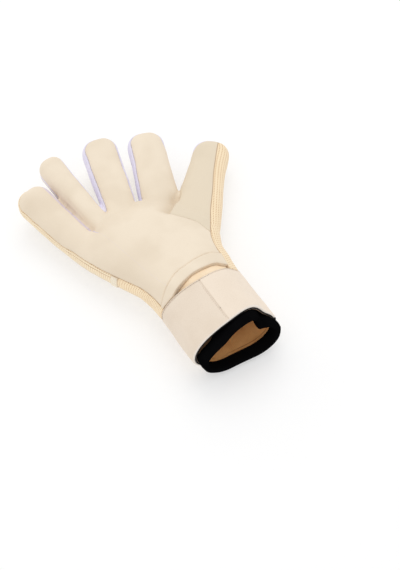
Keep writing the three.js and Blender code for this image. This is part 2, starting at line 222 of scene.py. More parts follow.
THUMB_ROOT_SEAM = ((0.2, 0.737), (0.28, 0.626), (0.334, 0.528), (0.352, 0.447))
THUMB_SIDE_SEAM = (
    (0.368, 0.394), (0.466, 0.545), (0.522, 0.631), (0.648, 0.794), (0.785, 0.981), (1.046, 1.291),
)
HEEL_SIDE_SEAM = ((0.27, -0.1), (0.283, 0.031), (0.298, 0.114), (0.312, 0.209), (0.335, 0.314))
WEB_LINE = ((0.815, 1.63), (0.42, 0.932), (0.319, 0.85), (0.215, 0.757))
HEEL_BAND_TOP = (
    (-0.4, -0.06), (-0.314, 0.036), (-0.218, 0.112), (-0.104, 0.164), (-0.006, 0.18),
    (0.118, 0.194), (0.22, 0.19), (0.31, 0.155), (0.6, 0.1),
)
HEEL_BAND_BOTTOM = (
    (-0.4, -0.12), (-0.23, 0.004), (-0.13, 0.047), (-0.008, 0.073), (0.106, 0.074),
    (0.197, 0.063), (0.266, 0.025), (0.6, -0.1),
)


@dataclass(frozen=True)
class Sizes:
    """The driving dimensions of the glove, in millimetres and degrees."""

    palm_length: float = 118
    palm_width: float = 124
    palm_height: float = 45
    wrist_width: float = 91
    wrist_height: float = 58
    strap_width: float = 57
    binding_width: float = 15.5
    cuff_skew: float = 0.22
    skew_fall: float = 0.55
    skew_ease: float = 15
    binding_turn: float = 8
    rim_slant: float = 0.11
    finger_length: float = 86
    finger_width: float = 40
    finger_height: float = 29
    thumb_length: float = 84
    thumb_width: float = 45
    thumb_angle: float = 44.7
    thumb_flare: float = 0.84
    thumb_root: tuple[float, float] = (0.478, 0.749)
    foam: float = 5.4
    gusset: float = 1.8
    sleeve: float = 2
    sleeve_tuck: float = 30
    strap: float = 4
    binding: float = 1.6
    heel_rise: float = 1.2
    tab_length: float = 7
    tab_rise: float = 1.6
    tab_place: float = 0.515
    seam_place: float = -0.01
    seam_drift: float = -0.04
    gap: float = 0.3

    @property
    def cuff_length(self) -> float:
        """Strap's upper edge to the cuff's rim."""
        return self.strap_width + self.binding_width


SIZES = Sizes()
REACH = 3 * (SIZES.palm_width + SIZES.palm_length)

# From the glove's own frame to the CAD frame, by the left end and the upper edge of the strap
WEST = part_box("strap_palm_panel")[0].x / MM - CUFF_SECTIONS[1].left * SIZES.wrist_width
SHIFT = np.array([WEST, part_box("strap_palm_panel")[1].y / MM, 0.0])


def eased(at: Array, xs: Sequence[float], ys: Sequence[float], width: float) -> Array:
    """A table read along a line and rounded over at its corners.

    The value is the mean of the straight-line reading at nine places spread over the width, with
    weights that fall off as a bell.

    Args:
        at: places to read.
        xs: the table's places, rising.
        ys: the table's values.
        width: how far the rounding reaches each way.

    Returns:
        The value at each place.
    """
    steps = np.linspace(-1, 1, 9)
    weights = np.exp(-3 * steps**2)
    total = sum(w * np.interp(at + s * width, xs, ys) for s, w in zip(steps, weights))
    return total / weights.sum()


def ripple(points: Array, wavelength: float, seed: int, waves: int = 14) -> Array:
    """A smooth random swell: plane waves of about one wavelength in seeded directions, summed.

    Args:
        points: n by 3 places.
        wavelength: of the swell, in the units of the points.
        seed: picks the directions and phases.
        waves: how many are summed.

    Returns:
        About -1 to 1 at each place.
    """
    rng = np.random.default_rng(seed)
    ways = rng.normal(size=(waves, 3))
    ways /= np.linalg.norm(ways, axis=1)[:, None]
    ways *= (2 * math.pi / wavelength * rng.uniform(0.7, 1.4, waves))[:, None]
    phases = rng.uniform(0, 2 * math.pi, waves)
    return np.sin(points @ ways.T + phases).sum(1) / math.sqrt(waves / 2) / 1.6


def curve_through(points: Array, per_span: int = 8) -> Array:
    """A Catmull-Rom curve: each span is the cubic whose slopes are half its neighbours' step.

    Args:
        points: n by 2 or n by 3 places it passes through.
        per_span: points on each span.

    Returns:
        The points of the curve, ends included.
    """
    p = np.vstack([2 * points[0] - points[1], points, 2 * points[-1] - points[-2]])
    t = (np.arange(per_span) / per_span)[None, :, None]
    a, b, c, d = (p[i : len(p) - 3 + i, None, :] for i in range(4))
    square, cube = 2 * a - 5 * b + 4 * c - d, 3 * b - a - 3 * c + d
    spans = 0.5 * (2 * b + (c - a) * t + square * t**2 + cube * t**3)
    return np.vstack([spans.reshape(-1, points.shape[1]), points[-1]])


@dataclass
class HandForm:
    """The outer form of the stuffed glove, as grids of points and heights."""

    s: Sizes = SIZES
    sides: int = 96
    digit_sides: int = 64
    ease: float = 9.0
    section_ease: float = 5.0
    profile_ease: float = 0.08
    overlap: float = 12.0
    roundness: float = 0.8
    tip_corner: float = 0.78
    tip_turn: float = 84.0
    tip_sink: float = 0.8

    def middle(self, y: Array) -> Array:
        """Height of the middle surface at y."""
        xs = [row.along * self.s.palm_length for row in LIE]
        return self.s.palm_height * eased(y, xs, [row.middle for row in LIE], self.ease)

    def rim(self, y: Array, upper: bool) -> Array:
        """Height of the foam's upper or lower rim at y."""
        xs = [row.along * self.s.palm_length for row in LIE]
        shares = [row.middle + row.rim_up if upper else row.middle - row.rim_down for row in LIE]
        return self.s.palm_height * np.interp(y, xs, shares)

    def dent(self, y: Array, turn: Array, loose: bool) -> Array:
        """How far the cuff is pushed in at y and a turn in degrees.

        Each dent is a bell round the cuff, whose depth changes evenly from the strap to the rim
        and fades out over the heel.
        """
        fade = np.clip(1 - y / (PALM_SECTIONS[0].along * self.s.palm_length), 0, 1)
        total = np.zeros(np.broadcast(y, turn).shape)
        for d in CUFF_DENTS:
            if loose or not d.loose:
                below = d.near + (d.near - d.far) * y / self.s.cuff_length
                deep = np.where(y > 0, d.near * fade, below)
                total += self.s.wrist_height * deep * np.exp(-(((turn - d.turn) / d.spread) ** 2))
        return total

    def body(self, y: Array, turn: Array, offset: float | Array, loose: bool = False) -> Array:
        """Points of the cuff and palm at y and a turn in degrees, grown by offset.

        A section is a superellipse, |u/a|^n + |w/b|^n = 1, in the upright plane at y, pushed in by
        the dents. Below the strap's upper edge, lengths grow towards the thumb side by the skew,
        which falls with the cube of the height.

        Args:
            y: places along the glove, which broadcast with the turns.
            turn: turns round the section in degrees, from the thumb side over the palm.
            offset: how far the section is grown.
            loose: whether the dents of the loose cuff count too.

        Returns:
            The points, with a last axis of three.
        """
        s = self.s
        rows = [
            (r.along * length, r.left * width, r.right * width, r.half * height, r.square)
            for sections, length, width, height in (
                (CUFF_SECTIONS, s.cuff_length, s.wrist_width, s.wrist_height),
                (PALM_SECTIONS, s.palm_length, s.palm_width, s.palm_height),
            )
            for r in sections
        ]
        xs, *columns = zip(*rows)
        left, right, half, square = (eased(y, xs, column, self.section_ease) for column in columns)
        c, d = np.cos(np.radians(turn)), np.sin(np.radians(turn))
        u = ((right - left) / 2 + offset) * np.sign(c) * np.abs(c) ** (2 / square)
        w = (half + offset) * np.sign(d) * np.abs(d) ** (2 / square)
        keep = 1 - self.dent(y, turn, loose) / np.hypot(u, w)
        x, z = (left + right) / 2 + u * keep, self.middle(y) + w * keep
        skew = s.cuff_skew - s.skew_fall * (z / s.wrist_height) ** 3
        longer = skew * (x + np.hypot(x, s.skew_ease)) / (2 * s.wrist_width)
        return np.stack([x, y * (1 + longer * (y < 0)), z], axis=-1)

    def digit(self, root: tuple[float, float], angle: float, length: float, width: float,
              flare: float, profile: Sequence[Station]) -> Array:
        """Grid of a finger: superellipse sections along a straight line, closed by a round tip.

        Past the last station the half width loses corner * (1 - cos t) and the reach gains
        corner * sin t, as t runs up to the tip's turn.

        Args:
            root: x and y of the digit's root.
            angle: which way it points, in degrees from +Y towards +X.
            length: beyond the root.
            width: at the root.
            flare: how many times wider it is towards the tip.
            profile: its sections.

        Returns:
            Sections by sides by three.
        """
        share = np.linspace(profile[0].along, profile[-1].along, 40)
        columns = [p.along for p in profile]
        widths = [p.wide * (1 + p.flared * (flare - 1)) for p in profile]
        wide = eased(share, columns, widths, self.profile_ease)
        tall = eased(share, columns, [p.height for p in profile], self.profile_ease)
        a, b = wide * width / 2, tall * self.s.finger_height / 2
        corner = self.tip_corner * a[-1]
        t = np.radians(np.linspace(0, self.tip_turn, 16))
        lost = 1 - np.cos(t)
        reach = np.concatenate([share * length, length - corner * (1 - np.sin(t))])
        a = np.concatenate([a, a[-1] - corner * lost])[:, None]
        b = np.concatenate([b, b[-1] * (1 - self.tip_sink * lost)])[:, None]
        turn = np.linspace(0, 2 * math.pi, self.digit_sides, endpoint=False)[None, :]
        c, d = np.cos(turn), np.sin(turn)
        u = a * np.sign(c) * np.abs(c) ** self.roundness
        w = b * np.sign(d) * np.abs(d) ** self.roundness
        ahead = np.array([math.sin(math.radians(angle)), math.cos(math.radians(angle))])
        line = np.array(root) + reach[:, None] * ahead
        xy = line[:, None, :] + u[..., None] * np.array([ahead[1], -ahead[0]])
        z = self.middle(line[:, 1])[:, None] + w
        return np.concatenate([xy, z[..., None]], axis=2)

    def members(self) -> list[Array]:
        """Grids of the body, fingers, webs and thumb, which overlap at their roots."""
        s = self.s
        ys = np.append(np.linspace(-self.overlap, s.palm_length - 1, 70), s.palm_length)[:, None]
        turn = np.linspace(0, 360, self.sides, endpoint=False)[None, :]
        grids = [self.body(ys, turn, 0.0)]
        for rows, profile in ((FINGERS.values(), FINGER_PROFILE), (WEBS, WEB_PROFILE)):
            for r in rows:
                root = (r.root_x * s.palm_width, r.root_y * s.palm_length)
                grids.append(self.digit(root, r.angle, r.length * s.finger_length,
                                        r.width * s.finger_width, r.flare, profile))
        root = (s.thumb_root[0] * s.palm_width, s.thumb_root[1] * s.palm_length)
        grids.append(self.digit(root, s.thumb_angle, s.thumb_length, s.thumb_width,
                                s.thumb_flare, THUMB_PROFILE))
        return grids


def tube_faces(rows: int, sides: int, start: int = 0) -> Array:
    """Quads of a grid of rows by sides that closes on itself round the sides."""
    r, i = np.meshgrid(np.arange(rows - 1), np.arange(sides), indexing="ij")
    a, b = r * sides + i, r * sides + (i + 1) % sides
    return (np.stack([a, b, b + sides, a + sides], axis=-1) + start).reshape(-1, 4)


def capped(grid: Array, start: int) -> tuple[Array, list[Array]]:
    """A grid of rings closed by a fan of triangles at each end.

    Args:
        grid: rings by sides by three.
        start: index of its first point in the whole mesh.

    Returns:
        Its points, with the two hubs last, and its faces.
    """
    rows, sides, _ = grid.shape
    here = start + np.arange(sides)
    after = start + (np.arange(sides) + 1) % sides
    last = (rows - 1) * sides
    hub = np.full(sides, start + rows * sides)
    fans = [np.stack([hub, after, here], 1), np.stack([hub + 1, last + here, last + after], 1)]
    points = np.vstack([grid.reshape(-1, 3), grid[0].mean(0), grid[-1].mean(0)])
    return points, [tube_faces(rows, sides, start), *fans]


def closed_strip(rows: int, cols: int) -> list[Array]:
    """Faces of a grid that closes on itself round its rows, with a fan over each open end.

    The fans' hubs are the two points that follow the grid's own.
    """
    r, i = np.meshgrid(np.arange(rows), np.arange(cols - 1), indexing="ij")
    up = (r + 1) % rows * cols
    quads = np.stack([up + i, up + i + 1, r * cols + i + 1, r * cols + i], -1).reshape(-1, 4)
    here = np.arange(rows) * cols
    after = np.roll(here, -1)
    hub = np.full(rows, rows * cols)
    near = np.stack([after, here, hub], 1)
    far = np.stack([here + cols - 1, after + cols - 1, hub + 1], 1)
    return [quads, np.vstack([near, far])]


def pressed(height: Array) -> Array:
    """Heights with what lies below zero pressed flat: half the sum of h and sqrt(h^2 + ease^2)."""
    return 0.5 * (height + np.hypot(height, FLOOR_EASE))


def vertex_normals(points: Array, triangles: Array) -> Array:
    """Unit normals at the vertices: the mean of the faces' normals by their area."""
    a, b, c = (points[triangles[:, k]] for k in range(3))
    across = np.cross(b - a, c - a)
    total = np.stack(
        [sum(np.bincount(triangles[:, k], across[:, i], len(points)) for k in range(3)) for i in range(3)],
        axis=1,
    )
    return total / np.maximum(np.linalg.norm(total, axis=1), 1e-12)[:, None]


def sides_of(triangles: Array) -> Array:
    """The three directed edges of each triangle."""
    return np.vstack([triangles[:, [0, 1]], triangles[:, [1, 2]], triangles[:, [2, 0]]])


def edges_of(triangles: Array) -> Array:
    """Each edge once, with its lower index first."""
    return np.unique(np.sort(sides_of(triangles), axis=1), axis=0)


def relaxed(points: Array, triangles: Array, rounds: int, pull: float = 0.5) -> Array:
    """Points smoothed by moving each towards the mean of its neighbours, then part of the way back.

    Args:
        points: n by 3 places.
        triangles: of the surface.
        rounds: how many times it is done.
        pull: share of the way to the mean.

    Returns:
        The smoothed places.
    """
    edges = edges_of(triangles)
    count = np.bincount(edges.ravel(), minlength=len(points))[:, None]
    for step in [pull, -pull * 0.9] * rounds:
        total = np.stack([
            np.bincount(edges[:, 0], points[edges[:, 1], i], len(points))
            + np.bincount(edges[:, 1], points[edges[:, 0], i], len(points))
            for i in range(3)
        ], axis=1)
        points = points + step * (total / count - points)
    return points


@dataclass
class Skin:
    """A triangle mesh with a normal at each vertex, from which the panels are cut."""

    points: Array
    normals: Array
    triangles: Array

    def cut(self, keep: Field, snap: float = 0.3) -> "Skin":
        """The part of the skin where a field of the points is above zero.

        A vertex close to the field's zero line slides onto it along an edge. Each triangle that
        still crosses the line is split where the field, read straight along its edges, is zero.

        Args:
            keep: gives the field at n by 3 points.
            snap: share of an edge within which a vertex slides.

        Returns:
            The cut skin, with its border on the line.
        """
        points, normals = self.points.copy(), self.normals.copy()
        value = keep(points)
        edges = edges_of(self.triangles)
        edges = edges[(value[edges[:, 0]] > 0) != (value[edges[:, 1]] > 0)]
        both = np.vstack([edges, edges[:, ::-1]])
        share = value[both[:, 0]] / (value[both[:, 0]] - value[both[:, 1]])
        order = np.argsort(share)
        first = order[np.unique(both[order, 0], return_index=True)[1]]
        first = first[share[first] < snap]
        near, far, part = both[first, 0], both[first, 1], share[first][:, None]
        points[near] += (points[far] - points[near]) * part
        normals[near] += (normals[far] - normals[near]) * part
        value[near] = 0.0
        sign = np.sign(value)
        tri = self.triangles
        s = sign[tri]
        whole = tri[(s >= 0).all(1) & (s > 0).any(1)]
        split = tri[(s > 0).any(1) & (s < 0).any(1)]
        new_edges = np.sort(sides_of(split), axis=1)
        crossing = sign[new_edges[:, 0]] * sign[new_edges[:, 1]] < 0
        made = np.unique(new_edges[crossing], axis=0)
        part = (value[made[:, 0]] / (value[made[:, 0]] - value[made[:, 1]]))[:, None]
        added = points[made[:, 0]] * (1 - part) + points[made[:, 1]] * part
        added_normals = normals[made[:, 0]] * (1 - part) + normals[made[:, 1]] * part
        size = len(points)
        keys = made[:, 0] * size + made[:, 1]

        def crossing_vertex(a: Array, b: Array) -> Array:
            """Index of the new vertex on the edge between a and b."""
            key = np.minimum(a, b) * size + np.maximum(a, b)
            return size + np.searchsorted(keys, key)

        pieces = [whole]
        signs = sign[split]
        for k in range(3):
            a, b, c = split[:, k], split[:, (k + 1) % 3], split[:, (k + 2) % 3]
            sa, sb, sc = signs[:, k], signs[:, (k + 1) % 3], signs[:, (k + 2) % 3]
            one = (sa > 0) & (sb < 0) & (sc < 0)
            pieces.append(np.stack([a, crossing_vertex(a, b), crossing_vertex(a, c)], 1)[one])
            two = (sa < 0) & (sb > 0) & (sc > 0)
            ab, ac = crossing_vertex(a, b), crossing_vertex(a, c)
            pieces.append(np.stack([b, c, ab], 1)[two])
            pieces.append(np.stack([c, ac, ab], 1)[two])
            touch = (sa == 0) & (sb > 0) & (sc < 0)
            pieces.append(np.stack([a, b, crossing_vertex(b, c)], 1)[touch])
            touch = (sa == 0) & (sb < 0) & (sc > 0)
            pieces.append(np.stack([a, crossing_vertex(b, c), c], 1)[touch])
        triangles = np.vstack(pieces)
        points = np.vstack([points, added])
        normals = np.vstack([normals, added_normals])
        used, inverse = np.unique(triangles, return_inverse=True)
        normals = normals[used]
        normals /= np.linalg.norm(normals, axis=1)[:, None]
        return Skin(points[used], normals, inverse.reshape(-1, 3))

    def largest(self) -> "Skin":
        """The skin without the crumbs that a cut may leave: only its largest joined part."""
        label = np.arange(len(self.points))
        edges = edges_of(self.triangles)
        while True:
            low = np.minimum(label[edges[:, 0]], label[edges[:, 1]])
            new = label.copy()
            np.minimum.at(new, edges[:, 0], low)
            np.minimum.at(new, edges[:, 1], low)
            new = new[new]
            if (new == label).all():
                break
            label = new
        tri_label = label[self.triangles[:, 0]]
        names, counts = np.unique(tri_label, return_counts=True)
        triangles = self.triangles[tri_label == names[counts.argmax()]]
        used, inverse = np.unique(triangles, return_inverse=True)
        return Skin(self.points[used], self.normals[used], inverse.reshape(-1, 3))

    def border(self) -> Array:
        """Directed edges used by one triangle only, with the skin on their left."""
        directed = sides_of(self.triangles)
        keys = directed.min(1) * len(self.points) + directed.max(1)
        _, first, counts = np.unique(keys, return_index=True, return_counts=True)
        return directed[first[counts == 1]]


def make_mesh(name: str, points: Array, faces: Sequence[Array], uv: Array | None = None,
              marks: dict[str, Array] | None = None, crease: float | None = 40) -> bpy.types.Object:
    """A mesh object from arrays, moved from the glove's own frame to the CAD frame.

    Args:
        name: of the object and its mesh.
        points: n by 3 places in millimetres.
        faces: arrays of triangles or quads.
        uv: n by 2 pattern coordinates, or None.
        marks: values at the vertices, by attribute name.
        crease: angle in degrees beyond which an edge is drawn sharp, or None.

    Returns:
        The object, linked to the scene.
    """
    mesh = bpy.data.meshes.new(name)
    mesh.vertices.add(len(points))
    mesh.vertices.foreach_set("co", ((points + SHIFT) * MM).astype(np.float32).ravel())
    loops = np.concatenate([f.ravel() for f in faces])
    sizes = np.concatenate([np.full(len(f), f.shape[1]) for f in faces])
    mesh.loops.add(len(loops))
    mesh.loops.foreach_set("vertex_index", loops.astype(np.int32))
    mesh.polygons.add(len(sizes))
    starts = np.concatenate([[0], np.cumsum(sizes)[:-1]]).astype(np.int32)
    mesh.polygons.foreach_set("loop_start", starts)
    mesh.update(calc_edges=True)
    mesh.polygons.foreach_set("use_smooth", np.ones(len(sizes), bool))
    if uv is not None:
        layer = mesh.uv_layers.new(name="Cloth")
        layer.data.foreach_set("uv", uv[loops].astype(np.float32).ravel())
    for key, values in (marks or {}).items():
        attribute = mesh.attributes.new(key, "FLOAT", "POINT")
        attribute.data.foreach_set("value", values.astype(np.float32))
    mesh.validate()
    if crease is not None:
        mesh.set_sharp_from_angle(angle=math.radians(crease))
    piece = bpy.data.objects.new(name, mesh)
    bpy.context.scene.collection.objects.link(piece)
    return piece


def linear(red: float, green: float, blue: float) -> tuple[float, float, float, float]:
    """A screen colour of 0 to 255 as the shader's linear one."""
    shares = np.array([red, green, blue]) / 255
    low = shares <= 0.04045
    r, g, b = np.where(low, shares / 12.92, ((shares + 0.055) / 1.055) ** 2.4)
    return (float(r), float(g), float(b), 1.0)


class Wire:
    """A value in a shader: an output socket with Python's operators."""

    def __init__(self, graph: "Graph", socket: bpy.types.NodeSocket) -> None:
        """A wire from a socket of the graph's tree."""
        self.graph = graph
        self.socket = socket

    def math(self, operation: str, *others: "Wire | float") -> "Wire":
        """A Math node of this value and up to two others."""
        return self.graph.node("ShaderNodeMath", {"operation": operation}, (self, *others))

    def __add__(self, other: "Wire | float") -> "Wire":
        """Sum."""
        return self.math("ADD", other)

    __radd__ = __add__

    def __mul__(self, other: "Wire | float") -> "Wire":
        """Product."""
        return self.math("MULTIPLY", other)

    __rmul__ = __mul__

    def __sub__(self, other: "Wire | float") -> "Wire":
        """Difference."""
        return self.math("SUBTRACT", other)

    def __rsub__(self, other: float) -> "Wire":
        """Difference from a number."""
        return self.graph.node("ShaderNodeMath", {"operation": "SUBTRACT"}, (other, self))

    def __truediv__(self, other: "Wire | float") -> "Wire":
        """Quotient."""
        return self.math("DIVIDE", other)

    def __pow__(self, other: float) -> "Wire":
        """Power."""
        return self.math("POWER", other)

    def sine(self) -> "Wire":
        """Sine of the value, in radians."""
        return self.math("SINE")

    def between(self, low: float, high: float) -> "Wire":
        """0 below low, 1 above high and smooth between them; falls instead where low is above."""
        settings = {"interpolation_type": "SMOOTHSTEP", "clamp": True}
        if low < high:
            return self.graph.node("ShaderNodeMapRange", settings, (self, low, high, 0.0, 1.0))
        return self.graph.node("ShaderNodeMapRange", settings, (self, high, low, 1.0, 0.0))


class Graph:
    """A material's node tree, with one way to add any node."""

    def __init__(self, name: str) -> None:
        """A new material with Blender's usual surface shader."""
        self.material = bpy.data.materials.new(name)
        self.material.use_nodes = True
        self.tree = self.material.node_tree
        self.shader = self.tree.nodes["Principled BSDF"]

    def node(self, kind: str, settings: dict[str, Any], values: Any, output: int | str = 0) -> Wire:
        """Adds a node.

        Args:
            kind: the node's type.
            settings: its own properties, set first.
            values: a wire or value for each input, in order or by name; None leaves one alone.
            output: which output to give back.

        Returns:
            The output as a wire.
        """
        made = self.tree.nodes.new(kind)
        for key, value in settings.items():
            setattr(made, key, value)
        pairs = values.items() if isinstance(values, dict) else enumerate(values)
        for key, value in pairs:
            if isinstance(value, Wire):
                self.tree.links.new(value.socket, made.inputs[key])
            elif value is not None:
                made.inputs[key].default_value = value
        return Wire(self, made.outputs[output])

    def place(self) -> Wire:
        """The object's own coordinates, in metres."""
        return self.node("ShaderNodeTexCoord", {}, (), "Object")

    def cloth(self) -> tuple[Wire, Wire]:
        """The piece's pattern coordinates along the cloth, in millimetres."""
        uv = self.node("ShaderNodeUVMap", {"uv_map": "Cloth"}, ())
        along, across = (self.node("ShaderNodeSeparateXYZ", {}, (uv,), output) for output in (0, 1))
        return along, across

    def mark(self, name: str) -> Wire:
        """A number kept at the mesh's vertices."""
        return self.node("ShaderNodeAttribute", {"attribute_name": name}, (), "Fac")

    def noise(self, size: float, detail: float = 2.0, rough: float = 0.5) -> Wire:
        """Cloudy noise on the object's coordinates, with features of a size in millimetres."""
        values = {"Vector": self.place(), "Scale": 1 / (size * MM), "Detail": detail, "Roughness": rough}
        return self.node("ShaderNodeTexNoise", {}, values, "Fac")

    def mix(self, share: Wire | float, first: Any, second: Any) -> Wire:
        """A colour between two, by share."""
        values = {0: share, 6: first, 7: second}
        return self.node("ShaderNodeMix", {"data_type": "RGBA"}, values, 2)

    def finish(self, color: Wire, roughness: Wire | float, height: Wire | None = None,
               depth: float = 0.1, strength: float = 1.0) -> bpy.types.Material:
        """Links the colour, roughness and a bump whose full height is depth millimetres."""
        links = self.tree.links
        links.new(color.socket, self.shader.inputs["Base Color"])
        if isinstance(roughness, Wire):
            links.new(roughness.socket, self.shader.inputs["Roughness"])
        else:
            self.shader.inputs["Roughness"].default_value = roughness
        if height is not None:
            values = {"Strength": strength, "Distance": depth * MM, "Height": height}
            bump = self.node("ShaderNodeBump", {}, values, "Normal")
            links.new(bump.socket, self.shader.inputs["Normal"])
        return self.material


@dataclass(frozen=True)
class FoamFinish:
    """Soft latex foam: smooth, matte and cloudy, darker in its seams, where shade in the gap between panels
    is painted, and on its cut inside.
    """

    name: str
    color: tuple[float, float, float]
    shade: tuple[float, float, float]
    seam: tuple[float, float, float] = (186, 148, 104)
    seam_width: float = 0.8
    grain: float = 0.12
    sliver: tuple[float, float, float] | None = None

    def build(self) -> bpy.types.Material:
        """The material, with a painted sliver of the gusset where a colour for it is given."""
        g = Graph(self.name)
        cloud = g.noise(38, 2).between(0.38, 0.68)
        pores = g.noise(0.5, 3, 0.6)
        soft = g.noise(4.5, 2)
        tone = g.mix(cloud * 0.35, linear(*self.color), linear(*self.shade))
        # Painted shade: darker towards the shade colour beside the thumb, in the finger crease and on the
        # outer palm
        shaded_tone = g.mix(g.mark("painted_shade"), tone, linear(*self.shade))
        fine = g.mix(pores.between(0.35, 0.7) * 0.06, shaded_tone, linear(*self.seam))
        edge = g.mark("edge").between(self.seam_width, 0.1)
        # Painted shade in the gap between panels: darker towards the seam colour near a cut border
        color = g.mix(edge * g.mark("dark"), fine, linear(*self.seam))
        if self.sliver is not None:
            strip = g.mark("sliver").math("ABSOLUTE").between(1.2, 0.8)
            color = g.mix(strip, color, linear(*self.sliver))
        g.shader.inputs["Sheen Weight"].default_value = 0.1
        g.shader.inputs["Sheen Roughness"].default_value = 0.6
        g.shader.inputs["Specular IOR Level"].default_value = 0.25
        return g.finish(color, pores * 0.12 + 0.74, pores * 0.5 + soft * 0.5, self.grain)


@dataclass(frozen=True)
class MeshFinish:
    """Knitted mesh: staggered dots that are holes in a warm cream cloth, with brown seams painted as shade
    in the gaps between panels.
    """

    name: str
    color: tuple[float, float, float]
    hole: tuple[float, float, float]
    seam: tuple[float, float, float] = (178, 132, 80)
    pitch: float = 2.1
    seam_width: float = 0.8
    sewn: bool = False

    def build(self) -> bpy.types.Material:
        """The material, with a line of stitching where the piece is sewn across."""
        g = Graph(self.name)
        u, v = g.cloth()
        turn = math.pi / self.pitch
        dots = ((u * turn).sine() * (v * turn).sine()) ** 2
        cloud = g.noise(16, 3).between(0.35, 0.7)
        yarn = g.noise(0.45, 2)
        cloth = g.mix(cloud * 0.08, linear(*self.color), linear(*self.hole))
        dotted = g.mix(dots.between(0.3, 0.8) * 0.75, cloth, linear(*self.hole))
        edge = g.mark("edge").between(self.seam_width, 0.1)
        # Painted shade in the gap between panels: darker towards the seam colour near a cut border
        color = g.mix(edge * g.mark("dark"), dotted, linear(*self.seam))
        if self.sewn:
            line = g.mark("sewn").math("ABSOLUTE").between(0.75, 0.2)
            color = g.mix(line * 0.75, color, linear(*self.seam))
            piping = (g.mark("sewn") + (SECOND_SEAM - PIPING_LIGHT)).math("ABSOLUTE").between(1.2, 0.7)
            color = g.mix(piping * 0.7, color, linear(*self.color))
        g.shader.inputs["Sheen Weight"].default_value = 0.12
        g.shader.inputs["Specular IOR Level"].default_value = 0.2
        return g.finish(color, yarn * 0.1 + 0.82, yarn * 0.3 - dots * 0.7, 0.3)


@dataclass(frozen=True)
class KnitFinish:
    """Elastic knit or tape: ribs along one way of the cloth and finer courses across them."""

    name: str
    color: tuple[float, float, float]
    shade: tuple[float, float, float]
    seam: tuple[float, float, float]
    rib: float = 1.1
    course: float = 0.8
    depth: float = 0.2
    rough: float = 0.85
    rib_tone: float = 0.3
    sheen: float = 0.12

    def build(self) -> bpy.types.Material:
        """The material."""
        g = Graph(self.name)
        u, v = g.cloth()
        ribs = (u * (2 * math.pi / self.rib)).sine() * 0.5 + 0.5
        courses = (v * (2 * math.pi / self.course)).sine() * 0.5 + 0.5
        cloud = g.noise(14, 3).between(0.35, 0.7)
        yarn = g.noise(0.4, 2)
        tone = g.mix(cloud * 0.4, linear(*self.color), linear(*self.shade))
        ribbed = g.mix((1 - ribs) * self.rib_tone, tone, linear(*self.shade))
        # Darker seam colour: the lining's hem line, and painted shade in the gaps between the other panels
        edge = g.mark("edge").between(0.8, 0.1)
        seamed = g.mix(edge * g.mark("dark"), ribbed, linear(*self.seam))
        color = g.mix(g.mark("hidden"), seamed, linear(*DARK_LINING))
        g.shader.inputs["Sheen Weight"].default_value = self.sheen
        g.shader.inputs["Specular IOR Level"].default_value = self.sheen
        height = ribs * 0.6 + courses * 0.3 + yarn * 0.3
        return g.finish(color, yarn * 0.1 + self.rough - 0.05, height, self.depth)


@dataclass(frozen=True)
class StrapFinish:
    """Brushed strap cloth: a fine upright grain, pink-cream outside and dark brown inside."""

    name: str
    color: tuple[float, float, float]
    shade: tuple[float, float, float]
    grain: tuple[float, float, float] = (206, 186, 164)
    rim: tuple[float, float, float] = (252, 248, 244)

    def build(self) -> bpy.types.Material:
        """The material."""
        g = Graph(self.name)
        u, v = g.cloth()
        nap = g.noise(0.8, 3, 0.65)
        broad = g.noise(26, 2).between(0.35, 0.7)
        weave = (u * (2 * math.pi / 1.3)).sine() * (v * (2 * math.pi / 1.3)).sine()
        tone = g.mix(broad * 0.4, linear(*self.color), linear(*self.shade))
        napped = g.mix(nap.between(0.45, 0.75) * 0.22, tone, linear(*self.grain))
        seamed = g.mix(g.mark("edge").between(0.7, 0.15) * 0.35, napped, linear(*self.grain))
        rimmed = g.mix(g.mark("rim"), seamed, linear(*self.rim))
        color = g.mix(g.mark("inner"), rimmed, linear(*DARK_LINING))
        g.shader.inputs["Sheen Weight"].default_value = 0.15
        g.shader.inputs["Specular IOR Level"].default_value = 0.2
        return g.finish(color, nap * 0.1 + 0.8, nap * 0.7 + weave * 0.25, 0.16)


@dataclass(frozen=True)
class PlainFinish:
    """One soft colour with a fine grain, for thread and tape, and for the floor, which glows a little."""

    name: str
    color: tuple[float, float, float]
    rough: float = 0.8
    grain: float = 0.3
    contrast: float = 0.5
    glow: float = 0.0

    def build(self) -> bpy.types.Material:
        """The material."""
        g = Graph(self.name)
        dark = tuple(0.86 * part for part in self.color)
        speck = g.noise(self.grain, 2)
        color = g.mix(speck.between(0.3, 0.75) * self.contrast, linear(*self.color), linear(*dark))
        g.shader.inputs["Emission Color"].default_value = (1, 1, 1, 1)
        g.shader.inputs["Emission Strength"].default_value = self.glow
        return g.finish(color, self.rough, speck, 0.05)


def outline(*runs: Sequence[tuple[float, float]]) -> Array:
    """Runs of points given as shares of the palm, each run as one smooth curve, in millimetres."""
    scale = np.array([SIZES.palm_width, SIZES.palm_length])
    return np.vstack([curve_through(np.array(run) * scale) for run in runs])


def depth_inside(points: Array, polygon: Array) -> Array:
    """How far each point lies inside an upright prism over a polygon; less than zero outside.

    The size is the distance to the nearest edge seen from above. The sign comes from how many
    edges a line towards +X crosses.
    """
    x, y = points[:, 0], points[:, 1]
    nearest = np.full(len(points), np.inf)
    inside = np.zeros(len(points), bool)
    for (ax, ay), (bx, by) in zip(polygon, np.roll(polygon, -1, axis=0)):
        ex, ey = bx - ax, by - ay
        t = np.clip(((x - ax) * ex + (y - ay) * ey) / max(ex * ex + ey * ey, 1e-12), 0, 1)
        nearest = np.minimum(nearest, np.hypot(x - ax - t * ex, y - ay - t * ey))
        if by != ay:
            inside ^= ((ay > y) != (by > y)) & (x < ax + (y - ay) * ex / ey)
    return np.where(inside, nearest, -nearest)


